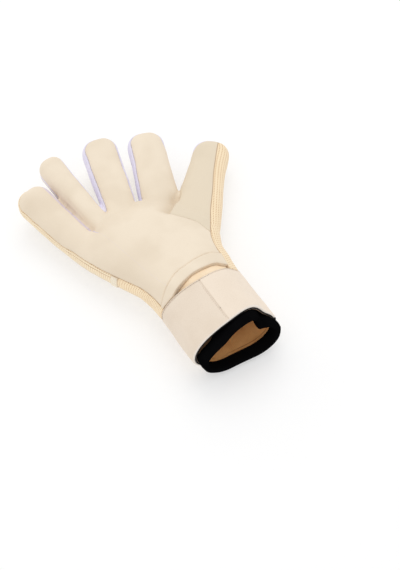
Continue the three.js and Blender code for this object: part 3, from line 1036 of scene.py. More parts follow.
def within(polygon: Array) -> Field:
    """Field above zero inside a polygon, half a sewn gap short of it."""
    return lambda points: depth_inside(points, polygon) - SEWN_GAP / 2


def clear_of(polygon: Array) -> Field:
    """Field above zero outside a polygon, half a sewn gap clear of it."""
    return lambda points: -depth_inside(points, polygon) - SEWN_GAP / 2


def beside(points: Array, crease: Crease) -> tuple[Array, Array, float]:
    """Distances along a crease from its start and to its left, seen from above, and its length."""
    step = np.array([crease.x1 - crease.x0, crease.y1 - crease.y0])
    length = float(np.hypot(*step))
    ex, ey = step / length
    x, y = points[:, 0] - crease.x0, points[:, 1] - crease.y0
    return x * ex + y * ey, y * ex - x * ey, length


def crease_share(points: Array, crease: Crease) -> Array:
    """How far into a crease each point is: a bell across it, wide on its left and steep on its right.

    Past the crease's ends the share fades as a bell too.
    """
    along, aside, length = beside(points, crease)
    past = np.maximum(np.maximum(-along, along - length + crease.fade), 0) / crease.fade
    return np.exp(-(past**2)) * np.exp(-((aside / np.where(aside > 0, crease.width, crease.steep)) ** 2))


@dataclass
class Seams:
    """Outlines of the panels seen from above, and the heights of the rims between them."""

    form: HandForm
    rim_dips: tuple[Crease, ...] = (
        Crease(-56, 205, -43, 100, 9.0, 12, 12, 8),
        Crease(32, 84, 82, 160, 9.5, 24, 24, 10),
        Crease(-92, 175, -76, 112, 3.6, 14, 14, 12),
    )

    def __post_init__(self) -> None:
        """Works out the outlines from the tables of seams."""
        s = self.form.s
        side = outline(HEEL_SIDE_SEAM + THUMB_SIDE_SEAM)
        self.thumb_side = np.vstack([side, [[REACH, side[-1, 1]], [REACH, side[0, 1]]]])
        self.thumb_front = outline(THUMB_ROOT_SEAM, THUMB_SIDE_SEAM, WEB_LINE)
        top, bottom = outline(HEEL_BAND_TOP), outline(HEEL_BAND_BOTTOM)
        below = [[REACH, -REACH], [-REACH, -REACH]]
        self.heel_end = np.vstack([top, below])
        self.heel_gap = np.vstack([bottom, below])
        place, half = s.tab_place * s.palm_length, s.tab_length / 2
        self.tab = self.block(-REACH, 0, place - half, place + half)
        self.heel_side = self.block(-REACH, 0, s.gap / 2, place - half)
        far, near = self.on_finger("little", 2), self.on_finger("little", -0.3)
        low = place + half
        self.little_side = np.array([far, near, [0, low], [-REACH, low], [-REACH, far[1]]])
        beyond = self.on_finger("index", 2)
        seam = np.array([row for row in THUMB_SIDE_SEAM if row[1] > s.thumb_root[1]])
        seam = seam[::-1] * [s.palm_width, s.palm_length]
        self.web = np.vstack([[self.on_finger("index", -0.3), beyond, [REACH, beyond[1]]], seam])

    @staticmethod
    def block(x0: float, x1: float, y0: float, y1: float) -> Array:
        """A rectangle as a polygon."""
        return np.array([[x0, y0], [x1, y0], [x1, y1], [x0, y1]])

    def on_finger(self, name: str, share: float) -> Array:
        """A point on a finger's centre line, as a share of the finger's length from its root."""
        s, row = self.form.s, FINGERS[name]
        way = np.array([math.sin(math.radians(row.angle)), math.cos(math.radians(row.angle))])
        return way * share * s.finger_length + [row.root_x * s.palm_width, row.root_y * s.palm_length]

    def wedge(self, a: str, b: str) -> Array:
        """The space between two fingers' centre lines."""
        corners = ((a, -0.3), (a, 2), (b, 2), (b, -0.3))
        return np.array([self.on_finger(name, share) for name, share in corners])

    def palm_side(self, points: Array) -> Array:
        """Height above the foam's upper rim, which dips where two fingers or the thumb meet."""
        dips = sum(dip.depth * crease_share(points, dip) for dip in self.rim_dips)
        return points[:, 2] - self.form.rim(points[:, 1], True) + dips

    def back_side(self, points: Array) -> Array:
        """Height below the foam's lower rim."""
        return self.form.rim(points[:, 1], False) - points[:, 2]

    def above_back(self, points: Array) -> Array:
        """Height above the lower rim and its gap."""
        return -self.back_side(points) - SEWN_GAP

    def below_palm(self, points: Array) -> Array:
        """Height below the upper rim and its gap."""
        return -self.palm_side(points) - SEWN_GAP

    @staticmethod
    def beyond_strap(points: Array) -> Array:
        """Distance beyond the strap's upper edge."""
        return points[:, 1] - SIZES.gap


class Edge(NamedTuple):
    """A cut that bounds a panel: its field, its seam's darkness (painted shade in the gap), and the roll's
    depth and width.
    """

    field: Field
    dark: float
    roll: float
    width: float


@dataclass
class Panel:
    """One panel cut from the glove's outer form, whose borders are turned in at the seams."""

    name: str
    slot: Slot
    finish: bpy.types.Material
    cuts: Sequence[Edge]
    thick: float
    lift: float = 0.0
    pucker: float = 0.1
    pucker_length: float = 7.0
    seam_fade: float = 2.5
    fill: float | None = None
    relief: Callable[[Array, Array], Array] | None = None
    pattern: Callable[[Array, Array], Array] | None = None
    painted_shade: Field | None = None
    sewn: Field | None = None
    sliver: Field | None = None
    added: bool = False
    seed: int = 1

    def build(self, skin: Skin) -> bpy.types.Object:
        """The panel as a closed wall.

        The outer face is the skin lifted along its normals. Within an edge's width of it the face
        dips on a quarter circle, as foam does where it is sewn down, and small puckers follow the
        seam. The inner face is the skin sunk by the wall but kept above the floor, and a strip
        joins the two.

        Args:
            skin: the glove's outer form.

        Returns:
            The dressed piece.
        """
        for cut in self.cuts:
            skin = skin.cut(cut.field)
        skin = skin.largest()
        p, n, t = skin.points, skin.normals, skin.triangles
        depths = np.stack([np.maximum(cut.field(p), 0) for cut in self.cuts])
        dark, roll, width = (np.array([cut[k] for cut in self.cuts])[:, None] for k in (1, 2, 3))
        d = depths.min(0)
        near = np.clip(1 - depths / width, 0, 1)
        height = self.lift - (roll * (1 - np.sqrt(1 - near**2))).max(0)
        height += self.pucker * near.max(0) * ripple(p, self.pucker_length, self.seed)
        if self.relief is not None:
            height += self.relief(p, d)
        outer = p + n * height[:, None]
        inner = p + n * (self.lift - self.thick)
        inner[:, 2] = np.maximum(inner[:, 2], 0.6 * self.thick)
        border = skin.border()
        a, b = border[:, 0], border[:, 1]
        wall = np.stack([b, a, a + len(p), b + len(p)], axis=1)
        faces = [t, t[:, ::-1] + len(p), wall]
        uv = None if self.pattern is None else np.vstack([self.pattern(p, d)] * 2)
        # Painted shade along the seams: darkest at a cut border and fading inwards
        shade = (dark * np.exp(-((depths / self.seam_fade) ** 2))).max(0)
        marks = {"edge": np.tile(d, 2), "dark": np.tile(shade, 2)}
        # Share of painted shade that the foam's finish mixes in
        if self.painted_shade is not None:
            marks["painted_shade"] = np.tile(self.painted_shade(p), 2)
        if self.sewn is not None:
            marks["sewn"] = np.tile(self.sewn(p), 2)
        if self.sliver is not None:
            marks["sliver"] = np.tile(self.sliver(p), 2)
        piece = make_mesh(self.name, np.vstack([outer, inner]), faces, uv, marks)
        dress(piece, self.finish, [] if self.added else [self.name])
        return piece


def dress(piece: bpy.types.Object, material: bpy.types.Material,
          nodes: Sequence[str]) -> None:
    """Gives a piece its material and body, and hides the nodes it stands for."""
    piece.data.materials.append(material)
    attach(piece, "root")
    if nodes:
        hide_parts(*nodes)
    log.info("%s: %d faces", piece.name, len(piece.data.polygons))


def one_surface(piece: bpy.types.Object, voxel: float) -> tuple[Array, Array]:
    """Remeshes a piece on a grid of cubes into one surface, and removes the piece.

    Args:
        piece: overlapping closed forms in one mesh.
        voxel: side of a cube in millimetres.

    Returns:
        Points in the glove's own frame, and triangles that face outwards.
    """
    remesh = piece.modifiers.new("one_surface", "REMESH")
    remesh.mode = "VOXEL"
    remesh.voxel_size = voxel * MM
    evaluated = piece.evaluated_get(bpy.context.evaluated_depsgraph_get())
    mesh = evaluated.to_mesh()
    co = np.empty(len(mesh.vertices) * 3, np.float32)
    mesh.vertices.foreach_get("co", co)
    mesh.calc_loop_triangles()
    corners = np.empty(len(mesh.loop_triangles) * 3, np.int32)
    mesh.loop_triangles.foreach_get("vertices", corners)
    evaluated.to_mesh_clear()
    bpy.data.objects.remove(piece)
    points = co.reshape(-1, 3).astype(float) / MM - SHIFT
    triangles = corners.reshape(-1, 3).astype(np.int64)
    a, b, c = (points[triangles[:, k]] for k in range(3))
    inside_out = np.einsum("ij,ij->i", a, np.cross(b, c)).sum() < 0
    return points, triangles[:, ::-1] if inside_out else triangles


@dataclass
class Hand:
    """The padded hand: foam palm, thumb and back, with mesh and gussets between them."""

    form: HandForm
    voxel: float = 1.0
    smoothing: int = 8
    swells: tuple[Swell, ...] = (Swell(0.25, 46, 5), Swell(0.1, 17, 6))
    web_dent: Crease = Crease(29, 92, 51, 109, 5.0, 10, 1.2, 5)
    finger_crease: Crease = Crease(-52, 160, -43, 108, 2.4, 7, 1.6, 6)
    # Spots of painted shade on the foam; a crease's depth here is the share of the shade colour
    painted_shade_spots: tuple[Crease, ...] = (
        Crease(28, 91, 48, 106, 0.9, 10, 1.5, 5),
        Crease(-52, 160, -43, 108, 0.4, 7, 1.2, 6),
        Crease(-58, 74, -42, 15, 0.34, 26, 26, 16),
        Crease(-82, 170, -66, 100, 0.35, 16, 16, 14),
    )
    sliver: tuple[float, float] = (2.3, 0.8)
    hollows: tuple[Hollow, ...] = (
        Hollow(25, 104, 10, 14, 25, 2.4),
        Hollow(-50, 36, 12, 20, -25, 1.6),
        Hollow(-66, 128, 9, 18, -8, 0.9),
        Hollow(10, 60, 16, 34, 12, 1.0),
        Hollow(2, 150, 6, 22, 15, 0.6),
    )

    def skin(self) -> Skin:
        """The outer form as one skin.

        The overlapping grids are joined, remeshed on a grid of cubes into one surface and
        relaxed. Soft dents and a slow swell are then added, and the underside is pressed flat.
        """
        points, faces, start = [], [], 0
        for grid in self.form.members():
            more_points, more_faces = capped(grid, start)
            points.append(more_points)
            faces += more_faces
            start += len(more_points)
        lofts = make_mesh("lofts", np.vstack(points), faces, crease=None)
        p, t = one_surface(lofts, self.voxel)
        p = relaxed(p, t, self.smoothing)
        n = vertex_normals(p, t)
        p = p - n * self.hollow_depth(p, n)[:, None]
        p = p + n * sum(w.depth * ripple(p, w.wavelength, w.seed) for w in self.swells)[:, None]
        p[:, 2] = pressed(p[:, 2])
        return Skin(p, vertex_normals(p, t), t)

    def hollow_depth(self, p: Array, n: Array) -> Array:
        """Depth of the soft dents on the palm side: for each, a bell in its own turned axes."""
        total = np.zeros(len(p))
        for h in self.hollows:
            c, s = math.cos(math.radians(h.turn)), math.sin(math.radians(h.turn))
            x, y = p[:, 0] - h.x, p[:, 1] - h.y
            u, v = (c * x - s * y) / h.across, (s * x + c * y) / h.along
            total += h.depth * np.exp(-(u**2 + v**2))
        for crease in (self.web_dent, self.finger_crease):
            total += crease.depth * crease_share(p, crease)
        return total * np.clip(n[:, 2] * 1.5, 0, 1)

    def shaded(self, p: Array) -> Array:
        """How much painted shade the foam takes, beside the thumb, in the crease and on the outer palm."""
        return np.clip(sum(spot.depth * crease_share(p, spot) for spot in self.painted_shade_spots), 0, 1)

    def beside_sliver(self, p: Array) -> Array:
        """Place across the strip of gusset in the crease between two fingers: -1 to 1 is on it.

        The strip lies a little to the crease's steep side. Its half width falls evenly along the
        crease and runs out to a point at its end.
        """
        along, aside, length = beside(p, self.finger_crease)
        half = np.interp(along, [0, length - 2, length], [*self.sliver, 0.05])
        return (aside + 0.4 * half) / half

    def build(self) -> list[bpy.types.Object]:
        """All panels of the hand."""
        s, seams, skin = self.form.s, Seams(self.form), self.skin()
        log.info("skin: %d triangles", len(skin.triangles))
        foam = FoamFinish("palm_latex", (243, 229, 208), (222, 205, 181), sliver=(226, 214, 224)).build()
        heel = FoamFinish("heel_foam", (243, 229, 208), (222, 205, 181)).build()
        thumb = FoamFinish("thumb_latex", (232, 218, 195), (222, 208, 185)).build()
        # The backhand's grey seam colour is painted shade along its rim
        back = FoamFinish("backhand_foam", (241, 229, 210), (230, 216, 196), seam=(176, 166, 164)).build()
        mesh = MeshFinish("side_mesh", (253, 233, 200), (200, 154, 98)).build()
        tab = MeshFinish("joint_tab", (250, 240, 221), (226, 204, 168), pitch=1.4).build()
        strip = MeshFinish("side_strip", (253, 236, 206), (206, 166, 116), sewn=True).build()
        gusset = KnitFinish("lilac_gusset", (240, 236, 250), (222, 216, 238), (176, 170, 196),
                            rib=1.0, course=0.9, depth=0.06, rib_tone=0.12).build()
        strap_edge = Edge(seams.beyond_strap, 0.0, 0.6, 1.5)
        rim = Edge(seams.palm_side, 0.1, 1.3, 3.2)
        thumb_seam = Edge(clear_of(seams.thumb_side), 0.55, 0.9, 1.8)
        band = [Edge(seams.above_back, 0.4, 0.5, 1.2), Edge(seams.below_palm, 0.3, 0.5, 1.2), strap_edge]
        knit = {"thick": s.gusset, "lift": -0.4, "pattern": self.along_flank}
        panels = [
            Panel("palm_latex", Slot.FOAM, foam,
                  [rim, strap_edge, Edge(clear_of(seams.thumb_front), 0.05, 0.5, 1.6), thumb_seam,
                   Edge(clear_of(seams.heel_end), 0.06, 1.5, 2.6)],
                  s.foam, fill=0.7, painted_shade=self.shaded, sliver=self.beside_sliver, seed=11),
            Panel("thumb_latex", Slot.THUMB, thumb,
                  [rim, Edge(within(seams.thumb_front), 0.0, 0.5, 1.4), thumb_seam],
                  s.foam, lift=0.1, fill=0.7, seed=12),
            Panel("heel_band", Slot.FOAM, heel,
                  [rim, strap_edge, Edge(within(seams.heel_end), 0.05, 1.3, 2.0),
                   Edge(clear_of(seams.heel_gap), 0.3, 0.9, 1.5), thumb_seam],
                  s.foam + s.heel_rise, lift=s.heel_rise, fill=0.8, seed=13),
            Panel("heel_stretch_panel", Slot.SLEEVE, self.stretch_finish(),
                  [rim, strap_edge, Edge(within(seams.heel_gap), 0.55, 0.4, 0.8), thumb_seam],
                  3.7, lift=-2.0, relief=self.slit, pattern=self.along_flank, added=True, seed=24),
            Panel("backhand", Slot.BACK, back, [Edge(seams.back_side, 0.5, 2.0, 3.2), strap_edge], s.foam,
                  fill=0.6, seed=14),
            Panel("thumb_mesh", Slot.MESH, mesh,
                  [band[0], strap_edge, Edge(within(seams.thumb_side), 0.5, 0.4, 1.0)],
                  **(knit | {"pattern": self.around_thumb(seams)}), seed=15),
            Panel("palm_side_mesh", Slot.MESH, mesh, [*band, Edge(within(seams.heel_side), 0.2, 0.3, 1.0)],
                  **knit, seed=16),
            Panel("little_side_strip", Slot.MESH, strip,
                  [*band, Edge(within(seams.little_side), 0.0, 0.3, 1.0)], **knit,
                  relief=self.double_seam(seams),
                  sewn=lambda p: seams.below_palm(p) - SECOND_SEAM, seed=17),
            Panel("side_joint_tab", Slot.MESH, tab, [*band, Edge(within(seams.tab), 0.1, 0.9, 1.4)],
                  s.gusset + s.tab_rise, lift=0.9, pattern=self.along_flank, relief=self.ridges, seed=18),
            Panel("gusset_web", Slot.GUSSET, gusset, [*band, Edge(within(seams.web), 0.0, 0.2, 1.0)],
                  **knit, seed=19),
        ]
        for k, (a, b) in enumerate((("index", "middle"), ("middle", "ring"), ("ring", "little"))):
            cuts = [*band, Edge(within(seams.wedge(a, b)), 0.0, 0.2, 1.0)]
            panels.append(Panel(f"gusset_{a}_{b}", Slot.GUSSET, gusset, cuts, **knit, seed=20 + k))
        return [panel.build(skin) for panel in panels]

    @staticmethod
    def stretch_finish() -> bpy.types.Material:
        """The warm elastic cloth that shows below the heel."""
        return KnitFinish("heel_stretch", (255, 235, 206), (242, 210, 168), (178, 130, 82),
                          rib=1.3, course=1.0, depth=0.1, rib_tone=0.12).build()

    @staticmethod
    def along_flank(p: Array, d: Array) -> Array:
        """Pattern coordinates on a side: along the glove and up its side."""
        return np.stack([p[:, 1] + 0.3 * p[:, 0], p[:, 2]], 1)

    @staticmethod
    def slit(p: Array, d: Array) -> Array:
        """The elastic cloth sinks towards the left end of its gap, where a dark slit opens."""
        share = np.clip((-2 - p[:, 0]) / 22, 0, 1)
        return -3.0 * share**2 * (3 - 2 * share)

    @staticmethod
    def ridges(p: Array, d: Array) -> Array:
        """Three ridges across the tab, as waves with height that fade out at its border."""
        return 0.35 * np.cos(p[:, 2] * 2 * math.pi / 4.2) * np.clip(d, 0, 1)

    @staticmethod
    def around_thumb(seams: Seams) -> Callable[[Array, Array], Array]:
        """Pattern on the thumb's side: along the thumb, and down from the palm's seam."""
        turn = math.radians(SIZES.thumb_angle)
        side = seams.thumb_side

        def pattern(p: Array, d: Array) -> Array:
            """Distance along the thumb, and the mean of the ways in and down from the seam."""
            along = p[:, 0] * math.sin(turn) + p[:, 1] * math.cos(turn)
            return np.stack([along, (depth_inside(p, side) - p[:, 2]) / 2], 1)

        return pattern

    @staticmethod
    def double_seam(seams: Seams) -> Callable[[Array, Array], Array]:
        """A groove along the little finger's side, with a piping between it and the upper rim."""

        def relief(p: Array, d: Array) -> Array:
            """A rounded piping and the groove below it."""
            down = seams.below_palm(p)
            piping = 0.5 * np.exp(-((down - PIPING) ** 2))
            return piping - 0.6 * np.exp(-(((down - SECOND_SEAM) / 0.7) ** 2))

        return relief


def stitches(path: Array, pitch: float, length: float, radius: float) -> tuple[Array, list[Array]]:
    """Separate stitches along a path, each a six-sided spindle.

    At t from -1 to 1 along a stitch its radius is the full one times the fourth root of 1 - t^2.

    Args:
        path: n by 3 places that the stitches follow.
        pitch: distance from one to the next.
        length: of each.
        radius: of each, at its middle.

    Returns:
        The points, and arrays of the quads and of the end faces.
    """
    step = np.linalg.norm(np.diff(path, axis=0), axis=1)
    run = np.concatenate([[0], np.cumsum(step)])
    at = np.arange(pitch / 2, run[-1], pitch)
    middle = np.stack([np.interp(at, run, path[:, k]) for k in range(3)], 1)
    ahead = np.stack([np.interp(at + 0.5, run, path[:, k]) for k in range(3)], 1) - middle
    ahead /= np.maximum(np.linalg.norm(ahead, axis=1), 1e-9)[:, None]
    side = np.cross(ahead, [0, 0, 1.0])
    side /= np.linalg.norm(side, axis=1)[:, None]
    up = np.cross(side, ahead)
    t = np.array([-0.98, -0.7, 0, 0.7, 0.98])
    turn = np.linspace(0, 2 * math.pi, 6, endpoint=False)
    thick = radius * (1 - t**2) ** 0.25
    around = side[:, None] * np.cos(turn)[None, :, None] + up[:, None] * np.sin(turn)[None, :, None]
    centres = middle[:, None] + ahead[:, None] * (t * length / 2)[None, :, None]
    points = centres[:, :, None] + around[:, None] * thick[None, :, None, None]
    starts = (np.arange(len(at)) * len(t) * 6)[:, None, None]
    quads = (tube_faces(len(t), 6)[None] + starts).reshape(-1, 4)
    ring = np.arange(6)
    ends = np.stack([ring[::-1], ring + (len(t) - 1) * 6])
    return points.reshape(-1, 3), [quads, (ends[None] + starts).reshape(-1, 6)]


def ring_tube(points: Array, radius: float) -> tuple[Array, Array]:
    """A round tube along a closed path: circles of eight points square to the path's steps.

    Args:
        points: n by 3 places of the closed path.
        radius: of the tube.

    Returns:
        The points and quads.
    """
    ahead = np.roll(points, -1, axis=0) - np.roll(points, 1, axis=0)
    ahead /= np.linalg.norm(ahead, axis=1)[:, None]
    side = np.cross(ahead, [0, 1.0, 0.2])
    side /= np.linalg.norm(side, axis=1)[:, None]
    up = np.cross(side, ahead)
    turn = np.linspace(0, 2 * math.pi, 8, endpoint=False)
    around = side[:, None] * np.cos(turn)[None, :, None] + up[:, None] * np.sin(turn)[None, :, None]
    grid = points[:, None] + radius * around
    grid = np.vstack([grid, grid[:1]])
    quads = tube_faces(len(grid), 8)
    count = len(points) * 8
    return grid[:-1].reshape(-1, 3), quads % count


@dataclass
class Cuff:
    """The cuff: knitted sleeve, black binding over its rim, and the strap in two panels."""

    form: HandForm
    around: int = 240
    sleeve_radius: float = 38.0
    strap_radius: float = 43.0
    slant_place: float = 6.0
    fold_depth: float = 0.33
    lining_hem: float = 11.5
    lining_seam: float = 12.6
    strap_hem: float = 2.8
    strap_corner: float = 1.5
    tape_tuck: float = 9.0
    tape_under: float = -5.0
    lens_turn: float = 158.0
    lens_spread: float = 34.0
    seam_gap: float = 0.03
    seam_roll: float = 0.35

    def rim_y(self, depth: float, turn: Array) -> Array:
        """Where the slanted rim lies at each turn, from a depth inside it."""
        s = self.form.s
        y = np.array([[-s.cuff_length + self.slant_place]])
        z = self.form.body(y, turn[None, :], -s.foam, True)[0, :, 2]
        return -s.cuff_length + depth + s.rim_slant * z

    @staticmethod
    def swell(y: Array, turn: Array, radius: float, along: float, wavelength: float, seed: int) -> Array:
        """A smooth random swell over the cuff, read on a round cylinder so that it closes.

        Args:
            y: place of each point along the glove.
            turn: its turn in degrees, or one row of turns for all.
            radius: of the cylinder.
            along: share of y that counts, below 1 to draw the swell out along the glove.
            wavelength: of the swell.
            seed: picks it.

        Returns:
            About -1 to 1 at each point.
        """
        angle = np.radians(turn) + 0 * y
        places = np.stack([np.cos(angle) * radius, y * along, np.sin(angle) * radius], -1)
        return ripple(places.reshape(-1, 3), wavelength, seed).reshape(y.shape)

    def shell(self, y: Array, turn: Array, offset: Array, loose: bool) -> Array:
        """Points at y, turn and an offset that may differ at each, pressed flat at the floor."""
        grid = self.form.body(y, turn, offset, loose)
        floor = -offset + 0 * grid[..., 2]
        grid[..., 2] = floor + pressed(grid[..., 2] - floor)
        return grid

    def closed(self, name: str, grid: Array, uv: Array, marks: dict[str, Array]) -> bpy.types.Object:
        """A piece from a grid of profile points by turns that closes both ways.

        Args:
            name: of the piece.
            grid: profile by turns by three.
            uv: profile by turns by two.
            marks: profile by turns, by name.

        Returns:
            The object.
        """
        rows, sides, _ = grid.shape
        quads = tube_faces(rows + 1, sides) % (rows * sides)
        flat = {key: value.ravel() for key, value in marks.items()}
        return make_mesh(name, grid.reshape(-1, 3), [quads[:, ::-1]], uv.reshape(-1, 2), flat)

    def lining(self) -> bpy.types.Object:
        """The sleeve: a closed wall from the rim to inside the palm, with slack folds and a hem.

        Its profile runs down the outer face and back up the inner one. The folds are ripples
        that turn with the angle and grow towards the rim.
        """
        s = self.form.s
        out, thick = -s.foam - s.gap, s.sleeve
        turn = np.linspace(0, 360, self.around, endpoint=False)
        low = self.rim_y(s.binding + s.gap, turn)
        run = np.linspace(0, 1, 90)
        share = np.concatenate([run[::-1], run])[:, None]
        inner = np.concatenate([np.zeros(90), np.ones(90)])[:, None]
        y = low[None, :] + share * (s.sleeve_tuck - low[None, :])
        folds = self.fold_depth * self.swell(y, turn, 30, 0.35, 17, 41) * np.clip(1 - share, 0.25, 1)
        hem = 0.6 * np.exp(-(((y - low[None, :] - self.lining_hem) / 0.8) ** 2))
        grid = self.shell(y, turn[None, :], out - thick * inner + folds - hem * inner, True)
        arc = np.broadcast_to(np.radians(turn) * self.sleeve_radius, y.shape)
        marks = {
            "edge": np.where(inner > 0, np.abs(y - low[None, :] - self.lining_seam), 9.0),
            "dark": 0.8 * np.clip(0.5 + grid[..., 0] / 16, 0, 1),
            "hidden": (1 - inner) * (y < -4),
        }
        piece = self.closed("wrist_sleeve", grid, np.stack([arc, y], -1), marks)
        knit = KnitFinish("sleeve_knit", (232, 178, 116), (196, 138, 82), (110, 68, 34),
                          rib=1.6, course=1.1, depth=0.2, rib_tone=0.2, sheen=0.05).build()
        dress(piece, knit, ["wrist_sleeve"])
        return piece

    def binding(self) -> bpy.types.Object:
        """The folded tape over the sleeve's rim.

        Its profile is a U: up the outer face, round the rim on a half circle and back inside,
        with the wall's thickness between the U and a smaller one within it. Both legs are slightly
        crowned, and the outer one goes on as a thin layer under the strap.
        """
        s = self.form.s
        turn = np.linspace(0, 360, self.around, endpoint=False)
        rim = self.rim_y(0, turn)[None, :]
        out = -s.foam + s.binding
        back = -s.foam - s.gap - s.sleeve - s.gap - s.binding
        middle, radius = (out + back) / 2, (out - back) / 2
        thin = radius - s.binding
        top = -s.strap_width - 2 * s.gap
        run = np.linspace(0, 1, 22)[:, None]
        bend = np.radians(np.linspace(90, 270, 18))[1:-1, None]
        lens = np.exp(-(((turn - self.lens_turn) / self.lens_spread) ** 4))
        under = top + 0.8 + np.linspace(0, 1, 8)[:, None] * self.tape_tuck * (1 - 0.95 * lens)
        crown, base = np.sin(math.pi * run), rim + radius
        legs = (
            (under[::-1], self.tape_under),
            (base + run[::-1] * (top - base), out + 0.55 * crown),
            (base + radius * np.cos(bend), middle + radius * np.sin(bend)),
            (base + run * s.binding_turn, back - 0.4 * crown),
            (base + run[::-1] * s.binding_turn, middle - thin),
            (base + thin * np.cos(bend[::-1]), middle + thin * np.sin(bend[::-1])),
            (base + run * (top - base), middle + thin),
            (under, middle + thin - 0.1),
        )
        y = np.vstack([leg[0] + 0 * rim for leg in legs])
        offset = np.vstack([leg[1] + 0 * (leg[0] + rim) for leg in legs])
        swell = 0.3 * self.swell(y, turn, 30, 0.4, 15, 43) * (y < top)
        grid = self.shell(y + 0.5 * swell, turn[None, :], offset + swell, True)
        step = np.linalg.norm(np.diff(grid, axis=0, prepend=grid[:1]), axis=2)
        arc = np.broadcast_to(np.radians(turn) * self.sleeve_radius, y.shape)
        uv = np.stack([arc, np.cumsum(step, axis=0)], -1)
        piece = self.closed("cuff_binding", grid, uv, {})
        tape = KnitFinish("black_binding", (13, 13, 14), (5, 5, 6), (3, 3, 3), rib=1.3, course=0.7,
                          depth=0.15, rough=0.9, rib_tone=0.6, sheen=0.0).build()
        dress(piece, tape, ["cuff_binding"])
        return piece

    def seam_x(self, y: Array) -> Array:
        """Where the strap's seam crosses at y."""
        s = self.form.s
        return s.wrist_width * (s.seam_place - s.seam_drift * y / s.strap_width)

    def seam_turns(self, y: Array) -> tuple[Array, Array]:
        """Turns at which the strap's seam lies above and below the wrist, at each y."""
        dense = np.linspace(0, 360, 721)
        x = self.form.body(y[:, None], dense[None, :], 0.0)[..., 0]
        seam = self.seam_x(y)
        above = np.array([np.interp(-c, -row[:361], dense[:361]) for c, row in zip(seam, x)])
        below = np.array([np.interp(c, row[360:], dense[360:]) for c, row in zip(seam, x)])
        return above, below

    def strap_turns(self, y: Array, shares: Array, thumb: bool) -> Array:
        """Turns of a strap panel at each y, from the seam on one side to the seam on the other."""
        above, below = self.seam_turns(y)
        trim = math.degrees(self.seam_gap / self.form.s.wrist_height)
        start, end = (below + trim - 360, above - trim) if thumb else (above + trim, below - trim)
        return start[:, None] + shares[None, :] * (end - start)[:, None]

    def strap_profile(self) -> tuple[Array, Array, Array]:
        """The strap's closed profile, whose outer face ends in corners on quarter circles.

        Returns:
            y, depth below the outer face, and 1 on the outer face or 0 inside, at each point.
        """
        length, thick, corner = self.form.s.strap_width, self.form.s.strap, self.strap_corner
        t = np.radians(np.linspace(0, 90, 7))
        face = np.linspace(-corner, -length + corner, 70)[1:-1]
        back = face[::-1][::2]
        upper, lower = -corner + corner * np.cos(t[::-1]), -length + corner - corner * np.sin(t)
        y = np.concatenate([upper, face, lower, [-length + self.form.s.gap], back, [-self.form.s.gap]])
        front = [corner - corner * np.sin(t[::-1]), 0 * face, corner - corner * np.cos(t)]
        outer = np.arange(len(y)) < 2 * len(t) + len(face)
        depth = np.where(outer, 0.0, thick)
        depth[outer] = np.concatenate(front)
        return y, depth, outer.astype(float)

    def strap(self, name: str, thumb: bool, finish: bpy.types.Material) -> bpy.types.Object:
        """One strap panel: a closed profile carried round its half of the cuff.

        The outer face has a stitched hem groove near the upper edge, and towards the seams it
        dips on a quarter circle.

        Args:
            name: of the piece and of the node it stands for.
            thumb: whether it is the panel on the thumb's side.
            finish: its material.

        Returns:
            The dressed piece.
        """
        s = self.form.s
        ys, depth, outer = self.strap_profile()
        outer = outer[:, None]
        shares = np.linspace(0, 1, 150)
        turn = self.strap_turns(ys, shares, thumb)
        y = np.broadcast_to(ys[:, None], turn.shape)
        half = 1.3 * s.wrist_width
        d = np.minimum(shares, 1 - shares)[None, :] * half + 0 * y
        near = np.clip(1 - d / 1.2, 0, 1)
        roll = self.seam_roll * (1 - np.sqrt(1 - near**2))
        hem = 0.2 * np.exp(-(((y + self.strap_hem) / 0.6) ** 2))
        swell = 0.28 * self.swell(y, turn, 40, 1, 30, 51) + 0.08 * self.swell(y, turn, 40, 1, 9, 52)
        grid = self.shell(y, turn, -depth[:, None] + outer * (swell - roll - hem), False)
        points = np.vstack([grid.reshape(-1, 3), grid.mean(0)[[0, -1]]])
        arc = np.radians(turn) * self.strap_radius
        uv = np.vstack([np.stack([arc, y], -1).reshape(-1, 2), [[0, 0], [0, 0]]])
        rim = 0.5 * np.exp(-((np.minimum(y + s.strap_width, 9) / 0.8) ** 2)) * outer
        edge = np.minimum(d, np.abs(y + self.strap_hem) + 0.2)
        marks = {
            "edge": np.append(edge.ravel(), [0, 0]),
            "inner": np.append((1 - outer + 0 * y).ravel(), [1, 1]),
            "rim": np.append(rim.ravel(), [0, 0]),
        }
        piece = make_mesh(name, points, closed_strip(*turn.shape), uv, marks)
        dress(piece, finish, [name])
        return piece

    def edge_tape(self) -> bpy.types.Object:
        """The thin black tape inside the strap's lower edge: a tube on a closed path."""
        s = self.form.s
        turn = np.linspace(0, 360, self.around, endpoint=False)
        y = np.full(self.around, -s.strap_width + 0.2)
        path = self.shell(y[None, :], turn[None, :], -2.7 + 0 * y[None, :], False)[0]
        points, quads = ring_tube(path, 0.75)
        piece = make_mesh("strap_edge_tape", points, [quads[:, ::-1]])
        dress(piece, PlainFinish("edge_tape", (14, 13, 15)).build(), [])
        return piece

    def thread(self, name: str, y: Array, turn: Array, lift: float, color: tuple[float, float, float],
               pitch: float = 2.6) -> bpy.types.Object:
        """A row of stitches on the strap.

        Args:
            name: of the piece.
            y: places along the glove.
            turn: turns round the cuff at those places, in degrees.
            lift: how far the thread's middle stands off the strap's face.
            color: of the thread.
            pitch: from one stitch to the next.

        Returns:
            The dressed piece.
        """
        path = self.shell(y[:, None], turn[:, None], lift + 0 * y[:, None], False)[:, 0]
        points, faces = stitches(path, pitch, 0.62 * pitch, 0.22)
        piece = make_mesh(name, points, faces)
        dress(piece, PlainFinish(name, color).build(), [])
        return piece

    def build(self) -> list[bpy.types.Object]:
        """All pieces of the cuff."""
        s = self.form.s
        left = StrapFinish("strap_cream", (238, 223, 205), (229, 212, 192)).build()
